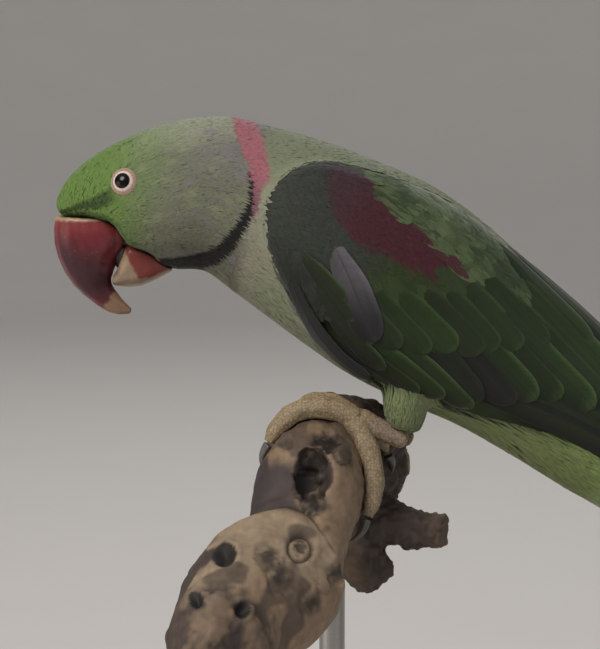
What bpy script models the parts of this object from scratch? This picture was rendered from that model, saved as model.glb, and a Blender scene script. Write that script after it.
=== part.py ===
"""Alexandrine parakeet, adult male, on a cut length of gnarled branch that a plain display stand holds up.

Metres, +Z up. The bird faces -X, its left side is at -Y, and the origin is the middle of the base's
underside.
Tables of sections are in millimetres in the bird's own plane, whose origin is BIRD_AT.
"""

import math

import bmesh
import bpy
import numpy as np

MM = 0.001
GAP = 0.3  # clearance between neighbouring solids, millimetres
BIRD_AT = np.array((-16.0, 0.0, 262.0)) * MM  # the bird's own origin, above the base
SIDES = (("left", -1), ("right", 1))  # name, and which way it lies along Y

# Body sections from the forehead to the tail: back x z, underside x z, half width
BODY = (
    ("brow", -73.4, 37.0, -71.2, 32.4, 6.2),
    ("forehead", -70.4, 43.6, -60.5, 30.7, 9.8),
    ("eyes", -62.8, 50.5, -54.6, 23.2, 13.6),
    ("crown", -51.5, 56.7, -47.0, 18.8, 16.6),
    ("cheek", -37.6, 61.4, -37.5, 16.8, 18.8),
    ("nape", -23.6, 63.1, -28.8, 16.4, 18.9),
    ("neck", -11.2, 60.6, -19.6, 9.6, 19.6),
    ("shoulder", 6.1, 56.0, -9.7, 2.3, 23.5),
    ("breast", 23.6, 49.4, 2.7, -6.9, 26.5),
    ("belly", 40.9, 41.6, 15.8, -15.8, 27.5),
    ("flank", 57.5, 29.5, 33.3, -24.4, 26.5),
    ("loin", 71.0, 16.8, 49.0, -31.3, 24.0),
    ("rump", 84.5, 5.0, 67.3, -42.0, 20.5),
    ("vent", 100.5, -10.0, 90.9, -56.2, 18.0),
    ("coverts", 117.5, -26.5, 111.5, -64.0, 16.4),
    ("tail_root", 135.0, -43.5, 131.0, -70.5, 15.7),
    ("tail_base", 154.0, -60.5, 150.5, -78.5, 15.2),
    ("tail_sheath", 170.0, -74.5, 167.5, -88.0, 14.8),
)
STATION = {row[0]: i for i, row in enumerate(BODY)}
BODY_TABLE = np.array([row[1:] for row in BODY])
BODY_CORNERS = 20
NECK_ENDS = 6.25  # station where the trunk begins
STATION_GAP = 0.02  # between two lengths of the body, in stations

EYE_AT = (-51.0, 11.6, 43.2)
EYE_RADIUS = 5.0

# Bill sections, front x z, rear x z, half width: the upper down from its base, the lower from the throat
UPPER_BILL = (
    (-73.5, 33.0, -56.2, 32.0, 7.2),
    (-74.1, 27.4, -55.2, 25.4, 7.8),
    (-73.0, 21.0, -55.3, 19.5, 7.2),
    (-70.2, 14.9, -56.8, 15.2, 6.2),
    (-66.2, 10.0, -57.3, 12.9, 4.7),
    (-61.5, 6.3, -56.0, 10.6, 3.1),
    (-57.0, 4.4, -53.9, 8.0, 1.8),
    (-52.0, 4.4, -51.4, 5.9, 0.6),
)
LOWER_BILL = (
    (-38.8, 19.5, -38.6, 16.6, 4.6),
    (-42.8, 21.2, -42.8, 14.2, 6.1),
    (-47.4, 22.2, -47.4, 12.2, 6.6),
    (-51.6, 22.6, -51.4, 11.6, 6.4),
    (-54.2, 17.2, -54.4, 11.9, 5.6),
    (-56.2, 14.8, -56.4, 12.4, 4.4),
)
BILL_CORNERS = 14
BILL_FULLNESS = 0.9  # below 1, the sections are squarer than an oval
TONGUE_AT = (-53.4, 0.0, 20.0)
TONGUE_RADIUS = 2.9

# Where the folded wing lies on the body: station, lower and upper edge in degrees up from the side, thickness
WING = np.array(
    (
        (6.30, 4, 12, 1.6),
        (6.45, -10, 28, 3.4),
        (6.75, -22, 43, 4.6),
        (7.20, -36, 54, 5.2),
        (8.00, -56, 62, 5.0),
        (9.00, -64, 68, 4.2),
        (10.0, -61, 72, 3.6),
        (11.0, -51, 75, 3.2),
        (12.0, -32, 77, 2.9),
        (12.8, -12, 78, 2.6),
        (13.6, 6, 78, 2.2),
        (14.4, 16, 74, 1.8),
        (15.2, 22, 66, 1.5),
        (16.0, 28, 56, 1.2),
        (16.5, 33, 45, 0.9),
    )
)
WING_LENGTHS = (  # name, first and last station, steps along, rows across
    ("shoulder", 6.3, 8.6, 8, 7),
    ("secondaries", 8.6, 12.6, 8, 7),
    ("primaries", 12.6, 16.5, 8, 5),
)
WING_OFF_BODY = 0.75  # from the body to the wing's inner face
WING_LEAST = 0.6  # least thickness of a wing
OVER_THIGH = (8.1, 12.6)  # first and last station of the wing over the thigh
WING_EDGE_SHARE = 0.22  # how thick a wing's edge is, as a share of its middle
DEGREES_PER_MM = 2.3  # round the body, at the wing's edge

TAIL_LENGTH = 340.0
TAIL_SLOPE = math.radians(36)  # below the horizon
TAIL_ROOT = (105.0, -36.0)  # where the tail feathers are rooted, inside the coverts
TAIL_GRADES = (1.0, 0.76, 0.65, 0.56, 0.48, 0.41)  # each pair's length as a share of the longest
TAIL_HALF_WIDTH = 13.5  # of the uppermost pair; each pair below it is a little wider
TAIL_TOP = 4.2  # the uppermost feathers' height above the line of the tail
TAIL_PITCH = 1.0  # from one feather to the next below it
TAIL_BLADE = 0.6  # thickness of a feather
TAIL_SHAFT = 0.2  # how much thicker it is along its shaft
TAIL_WIDEN = 0.5  # how much wider each pair is than the one above it
TAIL_TAPER = 0.36  # share of the width that the longest pair loses towards its tip
TAIL_STAGGER = 0.2  # how much lower the right side lies
TAIL_ROOF = math.radians(17)  # how far the two halves slope down from the middle

# Perch sections from its far cut end to the near one: middle x y z, half width and half height
PERCH = np.array(
    (
        (21.0, 66.0, -50.0, 12.0, 12.0),
        (19.0, 50.0, -49.0, 15.0, 15.0),
        (15.0, 34.0, -48.5, 16.0, 16.0),
        (11.5, 22.0, -48.5, 14.4, 15.4),
        (11.0, 6.0, -42.5, 22.0, 22.0),
        (8.0, -6.0, -43.5, 17.0, 19.6),
        (6.3, -15.0, -44.0, 15.0, 17.8),
        (2.6, -27.0, -45.5, 15.6, 18.0),
        (1.0, -37.0, -50.0, 14.8, 18.4),
        (-1.5, -45.0, -59.5, 15.2, 16.0),
        (-7.5, -53.0, -65.5, 19.6, 16.6),
        (-10.5, -64.0, -68.0, 21.4, 17.2),
        (-15.5, -78.0, -70.5, 18.6, 16.6),
        (-21.0, -91.0, -72.5, 14.8, 14.2),
        (-23.5, -99.5, -74.0, 10.8, 10.4),
        (-24.5, -104.0, -75.0, 6.0, 5.8),
    )
)
PERCH_CORNERS = 16
PERCH_RINGS = 21
# Waves round it: height as a share of its radius, number of waves, turn for each millimetre along it
PERCH_KNOBS = ((0.030, 2, 0.16), (0.018, 3, -0.11))
STUBS = (  # broken side branches: from, to, radius there and at the end
    ((12, -6, -58), (45, -8, -62), 9.0, 5.6),
    ((10, -12, -60), (24, -10, -77), 10.5, 7.6),
    ((-12, -58, -64), (-29, -60, -67), 12.0, 7.0),
)
HOLLOW_AT = (4.0, -40.0, -37.0)  # weathered hollow in front of the near foot
HOLLOW_RADIUS = 6.5
HOLLOW_STRETCH = (0.9, 1, 1.5)

HIP = (34.0, 12.5, -5.0)
ANKLE_BEHIND = (14.5, -6.5)  # from the root of the toes to the ankle, x and z
THIGH_ABOVE = (-0.5, 3.2)  # from the ankle to the thigh's lower end, x and z
# Share of the way and radius, of the thigh from the hip down, and of the shank from the ankle to the toes
THIGH = ((0, 7.0), (0.3, 8.0), (0.55, 7.8), (0.75, 6.8), (0.9, 5.6), (1.0, 4.5))
SHANK = ((-0.06, 1.5), (0, 2.6), (0.3, 2.9), (0.6, 3.2), (0.85, 3.8), (1.1, 2.6))
FOOT_ROOT_ABOVE = 3.0  # height of the root of the toes above the bark
FOOT_ROOTS = {"left": (58, -13.5), "right": (62, 23.0)}  # degrees round the perch, and y
# Toes: degrees round the perch from the foot's root to the toe's start and end, the same outwards along Y,
# half thickness, claw length
TOES = {
    "inner_front": (4, 62, 2.0, 8.5, 2.8, 8.0),
    "outer_front": (0, 92, -1.0, -2.0, 3.6, 8.0),
    "outer_hind": (-2, -84, -2.0, -12.5, 3.2, 8.0),
    "inner_hind": (-4, -46, 2.0, 8.0, 2.6, 6.5),
}
TOE_POINTS = 7
TOE_LIFT = (0.85, 0.65)  # its middle's height above the bark at root and tip, in its half thicknesses
TOE_PADS = (0.06, 0.22)  # how much its pads swell it, and how much it narrows to its tip
CLAW_ROOT = 0.5  # a claw's radius at its root, as a share of the toe's half thickness
CLAW_TIP = 0.22  # its radius at the tip
CLAW_BEND = 0.012  # how sharply it bends down, for each millimetre of its length

BASE_RADIUS = 92.0
BASE_HEIGHT = 14.0
BASE_ROUNDING = 2.5
BASE_TURNS = 32
ROD_RADIUS = 4.0
ROD_AT = (-6.0, 8.0)  # x and y, from the middle of the base
ROD_ENDS = (5.6, 214.0)  # heights of its ends, in the base and in the perch
COLLAR_RADIUS = 9.0
COLLAR_HEIGHT = 6.7
COLLAR_ROUNDING = 1.2
COLLAR_TURNS = 16

COLOURS = {  # base colour, roughness, metallic
    "plumage_green": ((0.13, 0.22, 0.09), 0.75, 0.0),
    "plumage_grey_green": ((0.30, 0.34, 0.22), 0.8, 0.0),
    "wing_green": ((0.07, 0.13, 0.06), 0.6, 0.0),
    "tail_green": ((0.10, 0.25, 0.16), 0.55, 0.0),
    "bill_red": ((0.42, 0.09, 0.09), 0.35, 0.0),
    "tongue_dark": ((0.03, 0.025, 0.025), 0.6, 0.0),
    "eye_dark": ((0.02, 0.02, 0.02), 0.1, 0.0),
    "foot_skin": ((0.42, 0.34, 0.22), 0.7, 0.0),
    "claw_horn": ((0.08, 0.08, 0.09), 0.4, 0.0),
    "branch_wood": ((0.33, 0.25, 0.18), 0.8, 0.0),
    "stand_wood": ((0.16, 0.10, 0.06), 0.5, 0.0),
    "stand_steel": ((0.55, 0.55, 0.55), 0.35, 1.0),
}
PARTS, CUTTERS = "alexandrine_parakeet", "cutters"


def clear_scene():
    for obj in list(bpy.data.objects):
        bpy.data.objects.remove(obj, do_unlink=True)


def make_collections():
    for name in (PARTS, CUTTERS):
        made = bpy.data.collections.new(name)
        made.hide_render = name == CUTTERS
        bpy.context.scene.collection.children.link(made)


def make_materials():
    for name, (colour, roughness, metallic) in COLOURS.items():
        material = bpy.data.materials.new(name)
        material.use_nodes = True
        shader = material.node_tree.nodes["Principled BSDF"]
        shader.inputs["Base Color"].default_value = (*colour, 1)
        shader.inputs["Roughness"].default_value = roughness
        shader.inputs["Metallic"].default_value = metallic


def place(points):
    """Bird's-plane millimetres to world metres."""
    return np.asarray(points, float) * MM + BIRD_AT


def unit(vector):
    return vector / np.linalg.norm(vector)


def spline(table, at):
    """The table's row at a fractional index, on a Catmull-Rom curve through all rows."""
    table = np.asarray(table, float)
    i = int(min(max(math.floor(at), 0), len(table) - 2))
    t = at - i
    a, b = table[max(i - 1, 0)], table[i]
    c, d = table[i + 1], table[min(i + 2, len(table) - 1)]
    bend = (2 * a - 5 * b + 4 * c - d) * t**2 + (3 * b - a - 3 * c + d) * t**3
    return b + 0.5 * ((c - a) * t + bend)


def section_point(row, angle, out=0.0, fullness=1.0):
    """A point on an oval section. angle 0 is the side at +Y and 90 degrees the back; out grows the oval."""
    back, under = np.array((row[0], 0.0, row[1])), np.array((row[2], 0.0, row[3]))
    middle, up = (back + under) / 2, (back - under) / 2
    height = np.linalg.norm(up)
    c, s = math.cos(angle), math.sin(angle)
    side = math.copysign(abs(c) ** fullness, c) * (row[4] + out)
    rise = math.copysign(abs(s) ** fullness, s) * (height + out) / height
    return middle + np.array((0.0, side, 0.0)) + up * rise


def section_ring(row, corners, out=0.0, fullness=1.0):
    return place([section_point(row, 2 * math.pi * k / corners, out, fullness) for k in range(corners)])


def keep_mesh(name, work, material, sharp=40):
    """Makes the bmesh an object: a part of this material, or a cutter if there is none."""
    mesh = bpy.data.meshes.new(name)
    work.to_mesh(mesh)
    work.free()
    mesh.shade_smooth()
    mesh.set_sharp_from_angle(angle=math.radians(sharp))
    obj = bpy.data.objects.new(name, mesh)
    if material:
        mesh.materials.append(bpy.data.materials[material])
    else:
        obj.display_type = "WIRE"
        obj.hide_render = True
    bpy.data.collections[PARTS if material else CUTTERS].objects.link(obj)
    return obj


def faced(name, points, faces, material):
    """An object of these points and faces, with its normals made to face outwards."""
    work = bmesh.new()
    corners = [work.verts.new(point) for point in points]
    for face in faces:
        work.faces.new([corners[k] for k in face])
    bmesh.ops.recalc_face_normals(work, faces=work.faces)
    if not material:
        bmesh.ops.triangulate(work, faces=work.faces)
    return keep_mesh(name, work, material)


def loft(name, rings, material):
    """A closed body through rings of equally many corners, with a flat end at each side."""
    count = len(rings[0])
    points = [point for ring in rings for point in ring]
    faces = [tuple(range(count)), tuple(range(len(points) - count, len(points)))]
    for i in range(len(rings) - 1):
        for k in range(count):
            a, b = i * count + k, i * count + (k + 1) % count
            faces += [(a, b, b + count), (a, b + count, a + count)]
    return faced(name, points, faces, material)


def ball(name, centre, radius, material, stretch=(1, 1, 1), turns=14):
    """A sphere, stretched to an ellipsoid if asked."""
    work = bmesh.new()
    bmesh.ops.create_uvsphere(work, u_segments=turns, v_segments=turns // 2, radius=radius * MM)
    bmesh.ops.scale(work, vec=stretch, verts=work.verts)
    bmesh.ops.translate(work, vec=place(centre), verts=work.verts)
    return keep_mesh(name, work, material, sharp=180)


def tube(name, path, radii, material, roundness=2):
    """A tube of changing radius along a path, from a curve with a bevel and filled caps."""
    curve = bpy.data.curves.new(name, "CURVE")
    curve.dimensions = "3D"
    curve.bevel_depth = MM
    curve.bevel_resolution = roundness
    curve.use_fill_caps = True
    line = curve.splines.new("POLY")
    line.points.add(len(path) - 1)
    for point, at, radius in zip(line.points, place(path), radii):
        point.co = (*at, 1)
        point.radius = radius
    drawn = bpy.data.objects.new(name + "_curve", curve)
    bpy.context.scene.collection.objects.link(drawn)
    bpy.context.view_layer.update()
    mesh = bpy.data.meshes.new_from_object(drawn.evaluated_get(bpy.context.evaluated_depsgraph_get()))
    bpy.data.objects.remove(drawn)
    work = bmesh.new()
    work.from_mesh(mesh)
    bpy.data.meshes.remove(mesh)
    bmesh.ops.remove_doubles(work, verts=work.verts, dist=0.01 * MM)
    bmesh.ops.recalc_face_normals(work, faces=work.faces)
    return keep_mesh(name, work, material, sharp=60)


def change(obj, other, operation="DIFFERENCE", solver="EXACT"):
    modifier = obj.modifiers.new(operation.lower() + "_" + other.name, "BOOLEAN")
    modifier.operation = operation
    modifier.solver = solver
    modifier.object = other


def body_length(name, stations, material, out=0.0):
    """One length of the body through these stations."""
    return loft(name, [section_ring(spline(BODY_TABLE, s), BODY_CORNERS, out) for s in stations], material)


def bill_half(name, table, steps, material, out=0.0):
    rows = [spline(table, s) for s in np.linspace(0, len(table) - 1, steps + 1)]
    return loft(name, [section_ring(row, BILL_CORNERS, out, BILL_FULLNESS) for row in rows], material)


def make_head():
    """Head, eyes, bill and tongue."""
    stations = np.linspace(0, STATION["nape"], 12)
    head = body_length("head", stations, "plumage_green")
    clear = body_length("clear_of_head", [-4 * STATION_GAP, *stations], None, out=GAP)
    x, y, z = EYE_AT
    for side, sign in SIDES:
        ball(f"eye_{side}", (x, sign * y, z), EYE_RADIUS, "eye_dark")
        change(head, ball(f"socket_{side}", (x, sign * y, z), EYE_RADIUS + GAP, None))
    upper = bill_half("bill_upper", UPPER_BILL, 10, "bill_red")
    lower = bill_half("bill_lower", LOWER_BILL, 7, "bill_red")
    clear_upper = bill_half("clear_of_upper_bill", UPPER_BILL, 10, None, out=GAP)
    tongue = ball("tongue", TONGUE_AT, TONGUE_RADIUS, "tongue_dark", turns=12)
    mouth = ball("mouth", TONGUE_AT, TONGUE_RADIUS + GAP, None, turns=12)
    change(upper, clear)
    for obj, cutters in ((lower, (clear, clear_upper, mouth)), (tongue, (clear_upper, clear))):
        for cutter in cutters:
            change(obj, cutter)


def make_trunk():
    """Neck, trunk and the coverts round the tail's root. Returns the cutter that clears the trunk."""
    lengths = (
        ("neck", STATION["nape"], NECK_ENDS, 4, "plumage_grey_green"),
        ("trunk", NECK_ENDS, STATION["rump"], 14, "plumage_grey_green"),
        ("tail_coverts", STATION["rump"], STATION["tail_sheath"], 9, "plumage_green"),
    )
    stations = {}
    for name, first, last, steps, material in lengths:
        stations[name] = np.linspace(first + STATION_GAP, last, steps + 1)
        body_length(name, stations[name], material)
    return body_length("clear_of_trunk", stations["trunk"], None, out=GAP)


def wing_point(s, across, sign, outer, grow):
    """A point of the folded wing: across is 0 at its lower edge and 1 at its upper edge."""
    low, high, thick = [np.interp(s, WING[:, 0], WING[:, k]) for k in (1, 2, 3)]
    low, high = low - grow * DEGREES_PER_MM, high + grow * DEGREES_PER_MM
    crown = WING_EDGE_SHARE + (1 - WING_EDGE_SHARE) * math.sqrt(max(4 * across * (1 - across), 0))
    out = WING_OFF_BODY + (max(thick * crown, WING_LEAST) + grow if outer else -3 * grow)
    point = section_point(spline(BODY_TABLE, s), math.radians(low + (high - low) * across), out)
    return point * (1, sign, 1)


def wing_shell(name, sign, stations, rows, material, grow=0.0):
    """A closed curved slab over the body, between the wing's lower and upper edges."""
    steps, row, layer = len(stations) - 1, rows + 1, (rows + 1) * len(stations)
    points, faces = [], []
    for outer in (False, True):
        for s in stations:
            points += [wing_point(s, k / rows, sign, outer, grow) for k in range(row)]
    for i in range(steps):
        for k in range(rows):
            a = i * row + k
            for face in ((a, a + 1, a + row + 1), (a, a + row + 1, a + row)):
                faces += [face, tuple(layer + corner for corner in reversed(face))]
    rim = list(range(row)) + [i * row + rows for i in range(1, steps + 1)]
    rim += [steps * row + k for k in range(rows - 1, -1, -1)] + [i * row for i in range(steps - 1, 0, -1)]
    for a, b in zip(rim, rim[1:] + rim[:1]):
        faces += [(a, b, b + layer), (a, b + layer, a + layer)]
    return faced(name, place(points), faces, material)


def make_wings():
    """Each folded wing is a shell over the body, in three lengths. Returns cutters that clear them."""
    clear = {}
    for side, sign in SIDES:
        for name, start, end, steps, rows in WING_LENGTHS:
            stations = np.linspace(start + STATION_GAP * (start > WING[0, 0]), end, steps + 1)
            wing_shell(f"wing_{side}_{name}", sign, stations, rows, "wing_green")
        over_thigh = np.linspace(*OVER_THIGH, 10)
        name = f"clear_of_wing_{side}"
        clear[side] = wing_shell(name, sign, over_thigh, 8, None, grow=2 * GAP)
    return clear


def make_tail():
    """Twelve graduated feathers, six to a side, stacked like a roof with the longest pair on top."""
    along = np.array((math.cos(TAIL_SLOPE), 0, -math.sin(TAIL_SLOPE)))
    up = np.array((math.sin(TAIL_SLOPE), 0, math.cos(TAIL_SLOPE)))
    root = np.array((TAIL_ROOT[0], 0, TAIL_ROOT[1]))
    sheath = BODY_TABLE[STATION["tail_sheath"]]
    back = np.array((sheath[0], 0, sheath[1])) - root
    under = np.array((sheath[2], 0, sheath[3])) - root
    lean = (under - back) @ along / ((under - back) @ up)  # of the coverts' end, for each millimetre up
    for side, sign in SIDES:
        for k, share in enumerate(TAIL_GRADES):
            level = TAIL_TOP - TAIL_PITCH * k - (TAIL_STAGGER if sign > 0 else 0)
            widest = TAIL_HALF_WIDTH + TAIL_WIDEN * k
            rings = []
            for t in np.linspace(0, 1, 6):
                blade = TAIL_BLADE * (1 - 0.3 * t)
                half = widest * (1 - TAIL_TAPER * t * share) * math.sqrt(max(1 - t**6, 0.012))
                outline = [(GAP, 0), (half / 2, 0), (half, 0)]
                outline += [(half, blade), (half / 2, blade + TAIL_SHAFT), (GAP, blade)]
                corners = []
                for y, lift in outline:
                    height = level + lift - y * math.tan(TAIL_ROOF)
                    start = back @ along + (height - back @ up) * lean + 2 * GAP
                    reach = start + (TAIL_LENGTH * share - start) * (1 - (1 - t) ** 1.25)
                    corners.append(root + along * reach + up * height + np.array((0, sign * y, 0)))
                rings.append(place(corners))
            loft(f"tail_feather_{side}_{k + 1}", rings, "tail_green")


def perch_section(y):
    """Middle x, z, half width and half height of the perch at this y."""
    row = spline(PERCH, np.interp(-y, -PERCH[:, 1], np.arange(len(PERCH))))
    return row[[0, 2, 3, 4]]


def perch_point(y, degrees, out=0.0):
    """A point on the branch, this many degrees up from its +X side, and raised from the bark by out."""
    x, z, wide, high = perch_section(y)
    angle = math.radians(degrees)
    knobs = 1 + sum(height * math.sin(count * angle + turn * y) for height, count, turn in PERCH_KNOBS)
    c, s = math.cos(angle), math.sin(angle)
    normal = unit(np.array((c / wide, s / high)))
    return np.array((x + wide * knobs * c + out * normal[0], y, z + high * knobs * s + out * normal[1]))


def make_perch():
    """The cut length of branch with its stubs and hollow. Returns it and the cutter that clears it."""

    def branch_length(name, material, out=0.0):
        turns = np.arange(PERCH_CORNERS) * 360 / PERCH_CORNERS
        ys = np.linspace(PERCH[0, 1] + out, PERCH[-1, 1] - out, PERCH_RINGS)
        return loft(name, [place([perch_point(y, turn, out) for turn in turns]) for y in ys], material)

    branch = branch_length("perch_branch", "branch_wood")
    for i, (start, end, thick, thin) in enumerate(STUBS):
        start, run = np.array(start), np.array(end) - np.array(start)
        path = [start + run * t for t in (0, 0.35, 0.7, 0.92, 1)]
        radii = (thick, 0.7 * thick + 0.3 * thin, 1.04 * thin, 0.98 * thin, 0.7 * thin)
        change(branch, tube(f"stub_{i + 1}", path, radii, None, roundness=3), "UNION")
    change(branch, ball("hollow", HOLLOW_AT, HOLLOW_RADIUS, None, HOLLOW_STRETCH, turns=12))
    return branch, branch_length("clear_of_perch", None, out=GAP)


def toe_path(angles, ys, thick):
    """Points along a toe on the perch, its middle a little less than its half thickness above the bark."""
    rows = [np.linspace(*ends, TOE_POINTS) for ends in (angles, ys, TOE_LIFT)]
    return [perch_point(y, turn, thick * lift) for turn, y, lift in zip(*rows)]


def make_claw(name, toe, thick, length, clear_of_perch):
    """A claw that carries on the toe's bend, tapering to a point that stops clear of the perch."""
    last = toe[-1]
    x, z = perch_section(last[1])[:2]
    run = unit(last - toe[-2])
    out = unit(last - np.array((x, last[1], z)))
    path, radii, at = [], [], last + run * GAP * 1.2
    for t in np.linspace(0, 1, 6):
        path.append(at + out * 0.2 * thick * math.sin(math.pi * t))
        radii.append(thick * CLAW_ROOT * (1 - t) ** 0.8 + CLAW_TIP)
        run = unit(run - out * CLAW_BEND * length)
        out = unit(out - run * (run @ out))
        at = at + run * length / 5
    change(tube(name, path, radii, "claw_horn", roundness=1), clear_of_perch)


def make_legs(clear_of_trunk, clear_of_wings, clear_of_perch):
    """Feathered thighs, scaly feet with two toes before and two behind, and claws."""
    share, (swell, narrow) = np.linspace(0, 1, TOE_POINTS), TOE_PADS
    for side, sign in SIDES:
        angle, y = FOOT_ROOTS[side]
        root = perch_point(y, angle, FOOT_ROOT_ABOVE)
        ankle = root + np.array((ANKLE_BEHIND[0], 0, ANKLE_BEHIND[1]))
        hip = np.array((HIP[0], sign * HIP[1], HIP[2]))
        thigh_end = ankle + np.array((THIGH_ABOVE[0], 0, THIGH_ABOVE[1]))
        path = [hip + (thigh_end - hip) * t for t, radius in THIGH]
        thigh = tube(f"leg_{side}_thigh", path, [radius for t, radius in THIGH], "plumage_green", roundness=4)

        path = [ankle + (root - ankle) * t for t, radius in SHANK]
        foot = tube(f"leg_{side}_foot", path, [radius for t, radius in SHANK], "foot_skin", roundness=3)
        wider = [radius + GAP for t, radius in SHANK]
        clear_of_shank = tube(f"clear_of_shank_{side}", path, wider, None, roundness=3)
        for cutter in (clear_of_trunk, clear_of_wings[side], clear_of_shank):
            change(thigh, cutter)
        for toe, (start, end, y0, y1, thick, claw) in TOES.items():
            points = toe_path((angle + start, angle + end), (y - sign * y0, y - sign * y1), thick)
            pads = thick * (1 + swell * np.cos(6 * math.pi * share) - narrow * share**2)
            change(foot, tube(f"toe_{side}_{toe}", points, pads, None), "UNION")
            make_claw(f"claw_{side}_{toe}", points, thick, claw, clear_of_perch)
        change(foot, clear_of_perch, solver="MANIFOLD")  # EXACT leaves nothing of the far foot


def cylinder(name, radius, heights, material, at=ROD_AT, turns=24, rounding=0.0):
    """An upright cylinder between two heights above the base's underside."""
    low, high = heights[0] * MM, heights[1] * MM
    work = bmesh.new()
    bmesh.ops.create_cone(
        work, cap_ends=True, segments=turns, radius1=radius * MM, radius2=radius * MM, depth=high - low
    )
    bmesh.ops.translate(work, vec=(at[0] * MM, at[1] * MM, (low + high) / 2), verts=work.verts)
    obj = keep_mesh(name, work, material)
    if rounding:
        edge = obj.modifiers.new("rounded_edge", "BEVEL")
        edge.width, edge.segments, edge.limit_method = rounding * MM, 2, "ANGLE"
    return obj


def make_stand(branch):
    """A round base with one rod up into the branch, and a collar where the rod leaves the base."""
    low, high = ROD_ENDS
    cylinder("stand_rod", ROD_RADIUS, ROD_ENDS, "stand_steel")
    rod_hole = cylinder("clear_of_rod", ROD_RADIUS + GAP, (low - GAP, high + GAP), None)
    base = cylinder(
        "stand_base", BASE_RADIUS, (0, BASE_HEIGHT), "stand_wood", (0, 0), BASE_TURNS, BASE_ROUNDING
    )
    heights = (BASE_HEIGHT + GAP, BASE_HEIGHT + GAP + COLLAR_HEIGHT)
    collar = cylinder(
        "stand_collar", COLLAR_RADIUS, heights, "stand_steel", ROD_AT, COLLAR_TURNS, COLLAR_ROUNDING
    )
    for obj in (base, collar, branch):
        change(obj, rod_hole)


def main():
    clear_scene()
    make_collections()
    make_materials()
    make_head()
    clear_of_trunk = make_trunk()
    clear_of_wings = make_wings()
    make_tail()
    branch, clear_of_perch = make_perch()
    make_legs(clear_of_trunk, clear_of_wings, clear_of_perch)
    make_stand(branch)


main()
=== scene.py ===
# A still, life-size Alexandrine parakeet on its perch and display stand.
# Lengths on the bird are in millimetres from its own origin, birdAt; the scene itself is in metres.
import math

import bmesh
import bpy
import numpy as np
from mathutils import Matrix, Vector
from mathutils.bvhtree import BVHTree


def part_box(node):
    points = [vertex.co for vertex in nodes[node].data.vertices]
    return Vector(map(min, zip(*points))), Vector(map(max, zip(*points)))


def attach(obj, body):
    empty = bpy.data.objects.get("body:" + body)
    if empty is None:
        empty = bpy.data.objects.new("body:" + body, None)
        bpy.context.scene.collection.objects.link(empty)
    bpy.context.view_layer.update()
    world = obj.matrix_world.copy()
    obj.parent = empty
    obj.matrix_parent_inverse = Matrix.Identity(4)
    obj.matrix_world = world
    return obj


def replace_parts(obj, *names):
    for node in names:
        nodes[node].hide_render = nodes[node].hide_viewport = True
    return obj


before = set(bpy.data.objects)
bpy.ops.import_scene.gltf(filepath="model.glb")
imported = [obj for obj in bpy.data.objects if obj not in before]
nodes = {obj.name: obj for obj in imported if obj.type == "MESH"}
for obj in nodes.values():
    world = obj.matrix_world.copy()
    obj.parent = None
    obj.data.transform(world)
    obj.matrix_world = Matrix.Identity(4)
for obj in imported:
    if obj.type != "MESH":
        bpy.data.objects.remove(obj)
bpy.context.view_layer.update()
dice = np.random.default_rng(11)
birdAt = np.array((-16.0, 0.0, 262.0))
sides = (("left", -1), ("right", 1))


def boxOf(name):
    # a node's lowest and highest corner, in bird mm
    return [np.array(corner) * 1000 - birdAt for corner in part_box(name)]


def linear(code):
    # an sRGB hex colour as linear red, green and blue
    values = np.array([int(code[k:k + 2], 16) / 255 for k in (1, 3, 5)])
    return np.where(values <= 0.04045, values / 12.92, ((values + 0.055) / 1.055) ** 2.4)


def unit(v):
    return v / np.maximum(np.linalg.norm(v, axis=-1, keepdims=True), 1e-9)


def dot(a, b):
    return (a * b).sum(-1, keepdims=True)


def ease(x, low, high):
    # 0 below low, 1 above high, and a smooth rise between them
    t = np.clip((np.asarray(x, float) - low) / (high - low), 0, 1)
    return t * t * (3 - 2 * t)


def bell(x, width, at=0.0):
    # 1 at this value, falling smoothly towards 0 on both sides of it
    return np.exp(-((x - at) / width) ** 2)


def hashed(cell):
    # a fixed random whole number for each cell of a grid
    mixed = (cell * (73856093, 19349663, 83492791)).sum(-1)
    return (mixed ^ (mixed >> 13)) * 1274126177


def cloud(p, size, seed=0):
    # a smooth random value from 0 to 1 with lumps of about this size, in mm
    q = np.asarray(p, float) / size + seed * 17.31
    cell = np.floor(q).astype(np.int64)
    part = q - cell
    part = part * part * (3 - 2 * part)
    total = np.zeros(len(q))
    for corner in np.ndindex(2, 2, 2):
        mixed = hashed(cell + corner)
        value = ((mixed ^ (mixed >> 16)) & 0xFFFF) / 65535
        total += value * np.prod(np.where(corner, part, 1 - part), -1)
    return total


def cells(p, size, seed=0):
    # distances in mm to the nearest and the next of scattered points about this far apart, and a value for each
    q = np.asarray(p, float) / size + seed * 9.17
    home = np.floor(q).astype(np.int64)
    near, second, value = np.full(len(q), 9.0), np.full(len(q), 9.0), np.zeros(len(q))
    for offset in np.ndindex(3, 3, 3):
        cell = home + np.array(offset) - 1
        mixed = hashed(cell)
        spot = np.stack([((mixed >> shift) & 0x3FF) / 1023 for shift in (4, 14, 24)], -1) * 0.7 + 0.15
        away = np.linalg.norm(cell + spot - q, axis=1)
        closer = away < near
        second = np.where(closer, near, np.minimum(second, away))
        near = np.where(closer, away, near)
        value = np.where(closer, ((mixed >> 16) & 0xFFFF) / 65535, value)
    return near * size, second * size, value


# The body's own places: a station along it and degrees up from its side

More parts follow.
